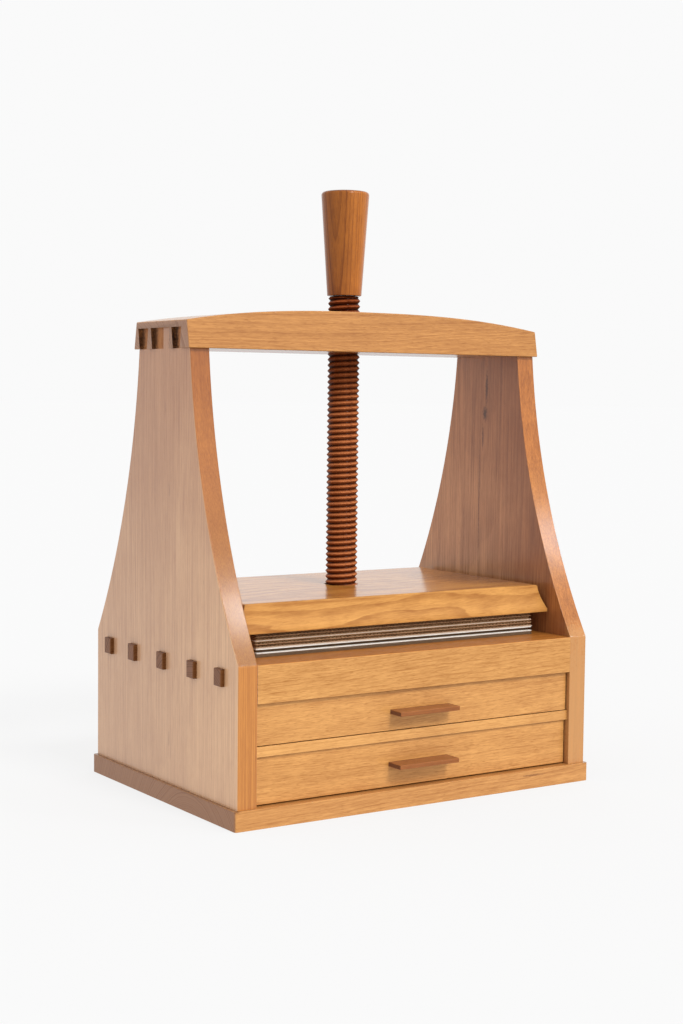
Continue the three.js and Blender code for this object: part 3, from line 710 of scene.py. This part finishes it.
def crisp_knee(bm):
    """Draws the curve between the panel's upright edge and its slope closer to the corner."""
    for vert in bm.verts:
        point = vert.co.yz / MM
        corner = Vector((math.copysign(KNEE["y"], point.x), KNEE["z"]))
        away = point - corner
        if away.length < KNEE["blend"] - 0.1:
            near = corner + away * KNEE["share"]
            vert.co.y, vert.co.z = near.x * MM, near.y * MM


def side_panels(inlay):
    finish = {"coat_roughness": 0.17, "coat_ior": 1.4, "specular": 0.15}
    pin_knots = [((-PANEL_OUTER, -3, 352), (4, 1.6, 9), 0.3),
                 ((-PANEL_OUTER, -11, 279), (4, 1.8, 11), 0.35),
                 ((-PANEL_OUTER, -12, 58), (4, 2.2, 12), 0.3)]
    # Painted light on the left panel: its pale tone is a painted sheen, the facing drift takes the
    # front edges back to the wood's orange, painted shade darkens the upward slope, and painted
    # shade darkens it towards the top and the back.
    left = wood("left_panel_wood", "z", (40, -8, 200), ring=1.9, tilt=(0.4, -0.3),
                contrast=0.26, wave=3.0, mottle=0.4, thread=1.9, fibre=0.8, pores=0.12,
                tones=SHEEN_PALE_CHERRY, tint=(1.05, 1.04, 1.01), marks=pin_knots, **finish,
                drift=[("facing", 1, 0.5, 0.8, (0.69, 0.45, 0.165)),
                       ("under", 2, 0.2, 0.5, (0.68, 0.70, 0.74)),
                       ("place", 2, 110, 420, (0.73, 0.60, 0.53)),
                       ("place", 1, -125, 40, (0.86, 0.84, 0.86))])
    knot = [((PANEL_INNER, 1, 348), (4, 5.5, 10), 1.0),
            ((PANEL_INNER, -1, 374), (4, 3.0, 24), 0.9),
            ((PANEL_INNER, 4, 325), (4, 2.0, 18), 0.8),
            ((PANEL_INNER, 9, 262), (4, 1.3, 80), 0.6)]
    pale_strip = ((181, -134.7, 70), (60, 12, 200), 0.75, (0.47, 0.240, 0.086))
    # Painted light on the right panel: its front edges are lighter and yellower than its inner
    # face, painted shade darkens the upward slope, and painted shade makes it darker towards the
    # top and darker and redder towards the front.
    right = wood("right_panel_wood", "z", (-90, 4, 200), ring=2.2, tilt=(-0.3, 0.4),
                 contrast=0.28, wave=3.0, streak=0.9, mottle=0.5, thread=1.4, fibre=0.7,
                 pores=0.15, tones=RED_CHERRY, marks=[*knot, pale_strip], **finish,
                 drift=[("facing", 1, 0.5, 0.8, (1.30, 1.24, 0.70)),
                        ("under", 2, 0.2, 0.5, (0.90, 0.90, 0.90)),
                        ("place", 2, 140, 380, (0.70, 0.57, 0.49)),
                        ("place", 1, 40, -120, (0.60, 0.44, 0.30))])
    side_panel("left_side_panel", left, inlay)
    side_panel("right_side_panel", right, inlay)


def bed_board():
    shoulder = PANEL_INNER - 0.1
    tip = box_mm("bed_board")[1].x - 0.1
    joints = [slab_zone(0, -BIG, -shoulder), slab_zone(0, shoulder, BIG)]

    def tenon_ends(a, b):
        return abs(a.x) > tip and abs(b.x) > tip
    shade = (0.28, 0.21, 0.18)  # on the sides of the tenons where they stand proud
    proud = [("place", 0, side * (PANEL_OUTER - 0.3), side * (PANEL_OUTER + 0.4), shade)
             for side in (-1, 1)]
    # Painted shade: the bed's top faces are darker and redder than its front.
    material = wood("bed_wood", "x", (0, -70, 60), ring=2.6, tilt=(1.6, 1.2), contrast=0.3,
                    wave=5.0, mottle=0.7, thread=0.9, fibre=1.3, pores=0.5,
                    tones=dict(CHERRY, end=(0.86, 0.54, 0.36)), coat=0.35, specular=0.12,
                    drift=[("facing", 2, 0.5, 0.8, (0.80, 0.60, 0.36)), *proud])
    board_piece("bed_board", material, [
        (0.9, outside(joints), EDGE_SEGMENTS),
        (1.2, tenon_ends, EDGE_SEGMENTS),
    ])


def top_beam(inlay):
    reach, wide, high = SOCKET_ZONE["x"], SOCKET_ZONE["y"], SOCKET_ZONE["high"]
    zones = [
        ((reach, -wide, -BIG), (BIG, wide, high)),
        ((-BIG, -wide, -BIG), (-reach, wide, high)),
        column_zone(0, 0, BORE_ZONE),
    ]
    # Painted shade: the beam's underside is darker.
    material = wood("beam_wood", "x", (-30, 70, 350), ring=1.9, tilt=(0.5, 0.8), contrast=0.3,
                    wave=2.5, streak=0.7, mottle=0.5, thread=1.0, fibre=1.2, pores=0.5,
                    tones=dict(CHERRY, end=(0.36, 0.20, 0.13)), tint=(0.83, 0.74, 0.62),
                    drift=[("under", 2, 0.0, -0.6, (0.74, 0.70, 0.66))])
    board_piece("top_beam", material, [(1.0, outside(zones), EDGE_SEGMENTS)],
                inlay=(inlay, dark_sockets))


def back_and_divider():
    back = wood("back_wood", "x", (40, 200, 20), ring=3.2, contrast=0.4, wave=6.0)
    divider = wood("divider_wood", "x", (0, -150, 20), ring=2.6, contrast=0.25, wave=3.0,
                   tint=(1.13, 1.15, 1.13))
    plain_board("back_panel", back, 0.6)
    plain_board("drawer_divider", divider, 0.4)


# ------------ platen, screw, handle
def platen():
    high = box_mm("platen_board")[1]
    top = high.z - 0.1
    bore = column_zone(0, 0, BORE_ZONE)

    def top_edges(a, b):
        return min(a.z, b.z) > top and min(a.xy.length, b.xy.length) > BORE_ZONE + 2

    def bore_edge(a, b):
        return min(a.z, b.z) > top and max(a.xy.length, b.xy.length) < BORE_ZONE

    def platen_wood(name, coat_roughness):
        # Painted light: the top is warmer than the sides, and painted shade darkens the top towards
        # the right panel.
        return wood(name, "x", (40, -62, 128), ring=8.5, tilt=(2.6, -1.8), contrast=0.6,
                    wave=15.0, streak=0.5, mottle=1.2, thread=0.5, fibre=0.8, pores=0.3,
                    tint=(0.98, 0.93, 0.72), coat=1.0, coat_roughness=coat_roughness,
                    coat_ior=1.18, specular=0.1,
                    drift=[("facing", 2, 0.9, 0.99, (1.04, 0.96, 0.74))],
                    marks=[((148, -10, 185.5), (70, 95, 6), 0.75)])

    def dull_sides(bm):
        for face in bm.faces:
            face.material_index = int(face.normal.z < 0.97)
    board_piece("platen_board", platen_wood("platen_wood", 0.16), [
        (1.5, top_edges, EDGE_SEGMENTS),
        (0.5, outside([bore, slab_zone(2, high.z - 4, BIG)]), 3),
        (0.6, bore_edge, 2),
    ], inlay=(platen_wood("platen_side_wood", 0.5), dull_sides))


def turned_bmesh(rows, sides, radius_at):
    """A closed turned solid about Z from (height, key) rows that go from axis to axis.

    radius_at(key, height, angle) gives the radius of a point, in millimetres. The first
    and the last row are single points on the axis.
    """
    bm = bmesh.new()
    first = bm.verts.new((0, 0, rows[0][0] * MM))
    rings = []
    for height, key in rows[1:-1]:
        ring = []
        for side in range(sides):
            angle = 2 * math.pi * side / sides
            radius = radius_at(key, height, angle) * MM
            place = (radius * math.cos(angle), radius * math.sin(angle), height * MM)
            ring.append(bm.verts.new(place))
        rings.append(ring)
    last = bm.verts.new((0, 0, rows[-1][0] * MM))
    for side in range(sides):
        after = (side + 1) % sides
        bm.faces.new((first, rings[0][after], rings[0][side]))
        for lower, upper in zip(rings, rings[1:]):
            bm.faces.new((lower[side], lower[after], upper[after], upper[side]))
        bm.faces.new((last, rings[-1][side], rings[-1][after]))
    bm.faces.layers.float.new("arris")
    bmesh.ops.recalc_face_normals(bm, faces=bm.faces[:])
    return bm


def thread_radius(height, angle, crest, root, pitch, crest_z):
    """Radius of a right-hand thread with slightly rounded crests and roots."""
    turn = (height - crest_z) / pitch - angle / (2 * math.pi)
    wave = math.asin(THREAD_CRISPNESS * math.cos(2 * math.pi * turn))
    share = 0.5 + wave / (2 * math.asin(THREAD_CRISPNESS))
    return root + (crest - root) * share


def press_screw():
    low_z = box_mm("press_screw")[0].z
    pilot_radius, pilot_top = SCREW_PILOT
    spigot_radius, spigot_top = TOP_SPIGOT
    rows = [(pilot_top, 0), (pilot_top, pilot_radius), (low_z, pilot_radius)]
    rows += [(low_z, SPIGOT_RADIUS - SPIGOT_CHAMFER), (low_z + SPIGOT_CHAMFER, SPIGOT_RADIUS)]
    rows += [(FOOT_Z, SPIGOT_RADIUS), (FOOT_Z, FOOT_RADIUS - CHAMFER)]
    rows += [(FOOT_Z + CHAMFER, FOOT_RADIUS), (THREAD_LOW - 0.5, FOOT_RADIUS)]
    count = round((THREAD_HIGH - THREAD_LOW) * THREAD_ROWS / PITCH)
    for number in range(count + 1):
        rows.append((THREAD_LOW + (THREAD_HIGH - THREAD_LOW) * number / count, "thread"))
    rows += [(THREAD_HIGH + 0.2, spigot_radius), (spigot_top - CHAMFER, spigot_radius)]
    rows += [(spigot_top, spigot_radius - CHAMFER), (spigot_top, 0)]

    def radius_at(key, height, angle):
        if key != "thread":
            return key
        radius = thread_radius(height, angle, CREST_RADIUS, ROOT_RADIUS, PITCH, CREST_Z)
        run_in = ROOT_RADIUS + min(height - THREAD_LOW, THREAD_HIGH - height)
        return min(radius, run_in)
    bm = turned_bmesh(rows, THREAD_SIDES, radius_at)
    mesh = finish_mesh(bm, "press_screw_threaded", thread_material())
    shown_piece("press_screw", mesh)


def quarter_round(centre_radius, centre_z, radius, start, steps=6):
    """Rows of a quarter circle that starts at an angle in degrees and turns left."""
    rows = []
    for step in range(steps + 1):
        angle = math.radians(start + 90 * step / steps)
        rows.append((centre_z + radius * math.sin(angle), centre_radius + radius * math.cos(angle)))
    return rows


def handle():
    low, high = box_mm("handle")
    bore_radius, bore_top = HANDLE_BORE
    foot = HANDLE_FOOT_EDGE
    rows = [(bore_top, 0), (bore_top, bore_radius), (low.z, bore_radius)]
    rows += quarter_round(HANDLE_BOTTOM_RADIUS - foot, low.z + foot, foot, -90, 4)
    dome = 0.4
    shoulder = high.z - dome - HANDLE_EDGE - 1.1
    body = 12
    for step in range(1, body):
        share = step / body
        rows.append((low.z + foot + (shoulder - low.z - foot) * share,
                     HANDLE_BOTTOM_RADIUS + (high.x - HANDLE_BOTTOM_RADIUS) * share))
    rows += quarter_round(high.x - HANDLE_EDGE, shoulder, HANDLE_EDGE, 0, 8)
    edge_z = shoulder + HANDLE_EDGE
    for share in (0.75, 0.5, 0.25):
        radius = (high.x - HANDLE_EDGE) * share
        rows.append((edge_z + (high.z - edge_z) * (1 - share ** 2), radius))
    rows.append((high.z, 0))
    bm = turned_bmesh(rows, HANDLE_SIDES, lambda key, height, angle: key)
    tones = dict(light=(0.455, 0.148, 0.020), dark=(0.19, 0.050, 0.008),
                 fleck=(0.07, 0.022, 0.008), end=(0.20, 0.085, 0.045))
    # The pith lies outside the wood, to the left of the front: nested U shapes on the taper.
    toward = Vector((-0.870, -0.493, 0))
    # Painted shade: the handle is darker on its left side.
    material = wood("handle_wood", "z", toward * 36.3, ring=3.4, tilt=(0.0, 0.0), contrast=0.55,
                    wave=0.8, streak=0.55, mottle=0.5, fibre=0.7, pores=0.25,
                    tones=tones, drift=[("place", 0, 4, -22, (0.68, 0.66, 0.66))],
                    coat=1.0, coat_roughness=0.25, coat_ior=1.3, specular=0.0, sheen=0.3)
    shown_piece("handle", finish_mesh(bm, "handle_turned", material))


# ------------ metal parts
SCREW_HEAD_RADIUS = 4.4
SCREW_HEAD_HEIGHT = 2.6
SCREW_SHANK = 2.3
SCREW_CORE = 1.6
SCREW_PITCH = 1.7
SCREW_TIP = 4.0
CROSS_WIDTH = 0.55
CROSS_REACH = 2.3
CROSS_DEPTH = 1.5


def wood_screw(node, material):
    """A countersunk wood screw that points up, with a cross recess in its head."""
    low, high = box_mm(node)
    middle = (low + high) / 2
    sides = 40
    rows = [(low.z, 0)]
    rows += [(low.z, radius) for radius in (0.35, 0.55, 0.9, 1.3, 1.7, 2.1, 2.35, 2.8, 3.4, 3.9)]
    rows += [(low.z + 0.15, SCREW_HEAD_RADIUS - 0.1), (low.z + 0.4, SCREW_HEAD_RADIUS - 0.2)]
    rows += [(low.z + SCREW_HEAD_HEIGHT, SCREW_SHANK * 0.9)]
    plain_end = low.z + (high.z - low.z) * 0.35
    rows += [(plain_end, SCREW_SHANK * 0.9)]
    steps = round((high.z - SCREW_TIP - plain_end) * 6 / SCREW_PITCH)
    for step in range(1, steps + 1):
        rows.append((plain_end + (high.z - SCREW_TIP - plain_end) * step / steps, "thread"))
    rows += [(high.z - SCREW_TIP * share, SCREW_CORE * share) for share in (0.7, 0.4, 0.1)]
    rows.append((high.z, 0))

    def radius_at(key, height, angle):
        if key != "thread":
            return key
        return thread_radius(height, angle, SCREW_SHANK, SCREW_CORE, SCREW_PITCH, plain_end)
    bm = turned_bmesh(rows, sides, radius_at)
    for vert in bm.verts:
        x, y, z = vert.co / MM
        if z < low.z + 0.01:
            near, far = sorted((abs(x), abs(y)))
            if near < CROSS_WIDTH and far < CROSS_REACH:
                deep = CROSS_DEPTH * (1 - 0.5 * far / CROSS_REACH)
                vert.co.z += deep * MM
        vert.co.x += middle.x * MM
        vert.co.y += middle.y * MM
    shown_piece(node, finish_mesh(bm, node + "_turned", material))


def metal_parts():
    steel = metal("zinc_steel", (0.62, 0.62, 0.60, 1), (0.38, 0.37, 0.35, 1))
    brass = metal("brass", (0.72, 0.52, 0.23, 1), (0.42, 0.28, 0.12, 1))
    for node in sorted(frame["nodes"]):
        if node.startswith("base_screw") or node == "foot_wood_screw":
            wood_screw(node, steel)
    every = outside([])
    board_piece("foot_washer", steel, [(0.2, every, 2)])
    board_piece("thrust_washer", brass, [(0.2, every, 2)])


# ------------ drawers
DRAWER_WOOD = dict(light=(0.60, 0.36, 0.17), dark=(0.40, 0.20, 0.08),
                   fleck=(0.20, 0.09, 0.04), end=(0.34, 0.18, 0.10))


def drawer_front(name, pith, tilt, tint):
    node = name + "_front"
    front_y = box_mm(node)[0].y
    near_edges = near_box_edges(node)

    def face_edges(a, b):
        return max(a.y, b.y) < front_y + 0.2 and near_edges(a, b)

    def back_edges(a, b):
        return min(a.y, b.y) > front_y + 2 and (a - b).length > 60 and near_edges(a, b)
    material = wood(node + "_wood", "x", pith, ring=2.4, tilt=tilt, contrast=0.26,
                    streak=0.7, mottle=0.7, fibre=1.4, pores=0.5, tint=tint)
    board_piece(node, material, [
        (0.6, face_edges, EDGE_SEGMENTS),
        (0.4, back_edges, 2),
    ])


def drawer_box(name, seed):
    """Sides, back and bottom in paler wood; each board has its own place in the log."""
    draw = random.Random(seed)
    for part, grain in (("left_side", "y"), ("right_side", "y"), ("back", "x"), ("bottom", "x")):
        node = name + "_" + part
        low, high = box_mm(node)
        centre = (low + high) / 2
        away = [draw.uniform(*span) for span in ((20, 60), (-80, 80), (-70, -30))]
        material = wood(node + "_wood", grain, centre + Vector(away), contrast=0.4,
                        ring=draw.uniform(2.2, 3.2), tones=DRAWER_WOOD, coat=0.15,
                        coat_roughness=0.4)
        chosen = near_box_edges(node, 0.5)

        def long_edges(a, b, chosen=chosen):
            return chosen(a, b) and (a - b).length > 14
        board_piece(node, material, [(0.4, long_edges, 2)])


def drawer_pull(name, pith):
    node = name + "_pull"
    tones = dict(light=(0.31, 0.108, 0.030), dark=(0.16, 0.048, 0.014),
                 fleck=(0.07, 0.024, 0.010), end=(0.15, 0.065, 0.038))
    material = wood(node + "_wood", "x", pith, ring=2.4, contrast=0.4, wave=2.0, tones=tones,
                    coat=0.5, coat_ior=1.3, specular=0.1)
    board_piece(node, material, [(0.6, near_box_edges(node), 3)])


def drawers():
    drawer_front("upper_drawer", (30, 10, 20), (1.0, 0.8), (1.03, 1.01, 0.95))
    drawer_front("lower_drawer", (-20, -20, -60), (-0.9, 1.1), (1.03, 1.00, 0.93))
    drawer_box("upper_drawer", 11)
    drawer_box("lower_drawer", 12)
    drawer_pull("upper_drawer", (10, -120, 40))
    drawer_pull("lower_drawer", (-30, -100, 0))
    for name, grain, pith, rounding, nodes in (
            ("runner_wood", "y", (60, 0, 20), 0.4, ("left_runner", "right_runner")),
            ("stop_wood", "x", (10, 90, 10), 0.5, ("upper_drawer_stop", "lower_drawer_stop"))):
        material = wood(name, grain, pith, ring=2.8, contrast=0.4, tones=DRAWER_WOOD, coat=0.1,
                        coat_roughness=0.4)
        for node in nodes:
            plain_board(node, material, rounding)


# ------------ boards and papers in the press
def sheet_outline(low, high, corner, ragged, draw):
    """Points round a sheet with softened corners and a slightly ragged cut, anticlockwise."""
    points = []
    corners = [
        (low.x + corner, low.y + corner, 180),
        (high.x - corner, low.y + corner, 270),
        (high.x - corner, high.y - corner, 0),
        (low.x + corner, high.y - corner, 90),
    ]
    steps = 4
    for number, (x, y, start) in enumerate(corners):
        for step in range(steps + 1):
            angle = math.radians(start + 90 * step / steps)
            points.append(Vector((x + corner * math.cos(angle), y + corner * math.sin(angle))))
        after = corners[(number + 1) % 4]
        angle = math.radians(start + 90)
        outward = Vector((math.cos(angle), math.sin(angle)))
        begin = points[-1].copy()
        end = Vector((after[0], after[1])) + corner * outward
        count = max(2, round((end - begin).length / SHEET_STEP))
        for step in range(1, count):
            inward = draw.uniform(0, ragged)
            points.append(begin.lerp(end, step / count) - outward * inward)
    return points


def add_sheet(bm, low, high, draw, corner=1.2, ragged=0.25, edge=0.3):
    """One closed sheet whose cut edge is rounded by the share edge of its thickness."""
    outline = sheet_outline(low, high, corner, ragged, draw)
    thickness = high.z - low.z
    soft = edge * thickness
    levels = [(low.z, soft), (low.z + soft, 0.0), (high.z - soft, 0.0), (high.z, soft)]
    centre = Vector(((low.x + high.x) / 2, (low.y + high.y) / 2))
    rings = []
    for height, inset in levels:
        ring = []
        for point in outline:
            inner = point - (point - centre).normalized() * inset
            ring.append(bm.verts.new((inner.x * MM, inner.y * MM, height * MM)))
        rings.append(ring)
    count = len(outline)
    for lower, upper in zip(rings, rings[1:]):
        for number in range(count):
            after = (number + 1) % count
            bm.faces.new((lower[number], lower[after], upper[after], upper[number]))
    bm.faces.new(rings[0][::-1])
    bm.faces.new(rings[-1])


def add_flutes(bm, low, high, draw):
    """The wavy middle sheet of a corrugated board, whose flutes run from front to back."""
    middle = (low.z + high.z) / 2
    amplitude = (high.z - low.z - FLUTE_SHEET) / 2 - 0.01
    steps_in_wave = 12
    waves = (high.x - low.x - 1.0) / FLUTE_PITCH
    columns = round(waves * steps_in_wave)
    phase = draw.uniform(0, 2 * math.pi)
    count = int(waves) + 3
    lean = [draw.uniform(-0.9, 0.9) for _ in range(count)]
    height = [draw.uniform(0.65, 1.0) for _ in range(count)]
    profile = []
    for column in range(columns + 1):
        share = column / steps_in_wave
        wave = int(share)
        part = share - wave
        tilt = lean[wave] * (1 - part) + lean[wave + 1] * part
        tall = height[wave] * (1 - part) + height[wave + 1] * part
        swing = math.sin(2 * math.pi * share + phase)
        x = low.x + 0.5 + FLUTE_PITCH * share + tilt * swing
        profile.append((x, middle + amplitude * tall * swing))
    depths = (low.y + 0.7, low.y + 2.0, high.y - 2.0, high.y - 0.7)
    half = FLUTE_SHEET / 2
    grids = []
    for side in (-half, half):
        grids.append([[bm.verts.new((x * MM, y * MM, (z + side) * MM)) for y in depths]
                      for x, z in profile])
    under, over = grids
    last_y = len(depths) - 1
    for column in range(columns):
        for row in range(last_y):
            a, b = (column, row), (column + 1, row)
            c, d = (column + 1, row + 1), (column, row + 1)
            bm.faces.new([over[i][j] for i, j in (a, b, c, d)])
            bm.faces.new([under[i][j] for i, j in (d, c, b, a)])
        for row in (0, last_y):
            quad = [under[column][row], under[column + 1][row],
                    over[column + 1][row], over[column][row]]
            bm.faces.new(quad if row == 0 else quad[::-1])
    for column in (0, columns):
        for row in range(last_y):
            quad = [under[column][row], over[column][row],
                    over[column][row + 1], under[column][row + 1]]
            bm.faces.new(quad if column == 0 else quad[::-1])


def corrugated_board(node, material, seed):
    low, high = box_mm(node)
    draw = random.Random(seed)
    bm = bmesh.new()
    add_sheet(bm, low, Vector((high.x, high.y, low.z + LINER)), draw, ragged=0.3)
    add_sheet(bm, Vector((low.x, low.y, high.z - LINER)), high, draw, ragged=0.3)
    inner_low = Vector((low.x, low.y, low.z + LINER))
    inner_high = Vector((high.x, high.y, high.z - LINER))
    add_flutes(bm, inner_low, inner_high, draw)
    bmesh.ops.recalc_face_normals(bm, faces=bm.faces[:])
    shown_piece(node, finish_mesh(bm, node + "_fluted", material))


def sheet_stack(node, material, sheets, seed, ragged=0.25, jitter=0.5, gap=0.02):
    """A few equal sheets on each other that fill the CAD node's thickness."""
    low, high = box_mm(node)
    draw = random.Random(seed)
    step = (high.z - low.z + gap) / sheets
    bm = bmesh.new()
    for number in range(sheets):
        shift = Vector((draw.uniform(-jitter, jitter), draw.uniform(0, jitter), 0))
        z = low.z + number * step
        sheet_low = Vector((low.x, low.y, z)) + shift
        sheet_high = Vector((high.x, high.y, z + step - gap)) + shift
        add_sheet(bm, sheet_low, sheet_high, draw, ragged=ragged)
    bmesh.ops.recalc_face_normals(bm, faces=bm.faces[:])
    shown_piece(node, finish_mesh(bm, node + "_cut", material))


def stack():
    paper = paper_material("blotting_paper", (0.80, 0.775, 0.73, 1), (0.62, 0.585, 0.53, 1))
    aged = paper_material("aged_paper", (0.66, 0.57, 0.49, 1), (0.36, 0.28, 0.21, 1))
    kraft = board_material("kraft_board", (0.52, 0.30, 0.150, 1), (0.22, 0.110, 0.046, 1),
                           (0.085, 0.055, 0.032, 1))
    # Painted shade: the dark board and dark paper stand for the shade at the foot of the stack and
    # in the gap between its light sheets.
    dark = board_material("dark_board", (0.16, 0.095, 0.048, 1), (0.075, 0.043, 0.022, 1),
                          (0.03, 0.02, 0.013, 1))
    painted_shade = paper_material("painted_shade_paper", (0.17, 0.105, 0.062, 1), (0.075, 0.043, 0.025, 1))
    for number in range(1, 5):
        corrugated_board(f"corrugated_board_{number}", kraft, 40 + number)
    papers = {1: painted_shade, 2: paper, 3: paper, 4: aged, 5: aged}
    for number, material in papers.items():
        sheet_stack(f"blotter_{number}", material, 2, 60 + number)
    sheet_stack("bottom_board", dark, 3, 70, ragged=0.4, jitter=0.15)
    sheet_stack("middle_board", dark, 3, 71, ragged=0.4, jitter=0.15)


# ------------ studio
def floor_material():
    def look(tree):
        low, high = [(FLOOR_WHITE * share,) * 3 + (1,) for share in (0.997, 1.003)]
        roughness = maths(tree, "MULTIPLY_ADD", noise_of(tree, (5, 5, 5)), 0.05, 0.93)
        return mixed(tree, noise_of(tree, (90, 90, 90), 3.0), low, high), roughness, None
    return simple_material("white_sweep", look, Specular_IOR_Level=0.0,
                           Emission_Color=(1, 1, 1, 1), Emission_Strength=FLOOR_GLOW)


def studio():
    bm = bmesh.new()
    bmesh.ops.create_circle(bm, cap_ends=True, segments=96, radius=FLOOR_RADIUS)
    mesh = bpy.data.meshes.new("floor")
    bm.to_mesh(mesh)
    bm.free()
    mesh.materials.append(floor_material())
    floor = linked_object("floor", mesh)
    floor.location.z = cad_low.z - 0.02 * MM

    world = bpy.data.worlds.new("white_studio")
    world.use_nodes = True
    sky = world.node_tree.nodes["Background"].inputs
    sky["Color"].default_value = (1, 1, 1, 1)
    sky["Strength"].default_value = BACKDROP
    bpy.context.scene.world = world
    for name, (azimuth, elevation, angle, strength) in SUNS.items():
        light = bpy.data.lights.new(name, "SUN")
        light.energy = strength
        light.angle = math.radians(angle)
        sun = linked_object(name, light)
        sun.rotation_mode = "QUATERNION"
        sun.rotation_quaternion = direction(azimuth, elevation).to_track_quat("Z", "Y")
    bpy.context.scene.view_settings.view_transform = "Standard"


def camera():
    data = bpy.data.cameras.new("camera")
    data.lens = CAMERA_LENS
    data.sensor_width = SENSOR
    made = linked_object("camera", data)
    roll = math.radians(CAMERA_ROLL)
    back = direction(CAMERA_AZIMUTH, CAMERA_ELEVATION)
    right = (-back).cross(Vector((0, 0, 1))).normalized()
    up = right.cross(-back)
    rolled_right = math.cos(roll) * right + math.sin(roll) * up
    rolled_up = math.cos(roll) * up - math.sin(roll) * right
    turn = Matrix((rolled_right, rolled_up, back)).transposed()
    made.matrix_world = Matrix.Translation(Vector(CAMERA_PLACE) * MM) @ turn.to_4x4()
    bpy.context.scene.camera = made


base_board()
sockets = socket_shade_wood()
side_panels(sockets)
bed_board()
top_beam(sockets)
back_and_divider()
platen()
press_screw()
handle()
metal_parts()
drawers()
stack()
studio()
camera()
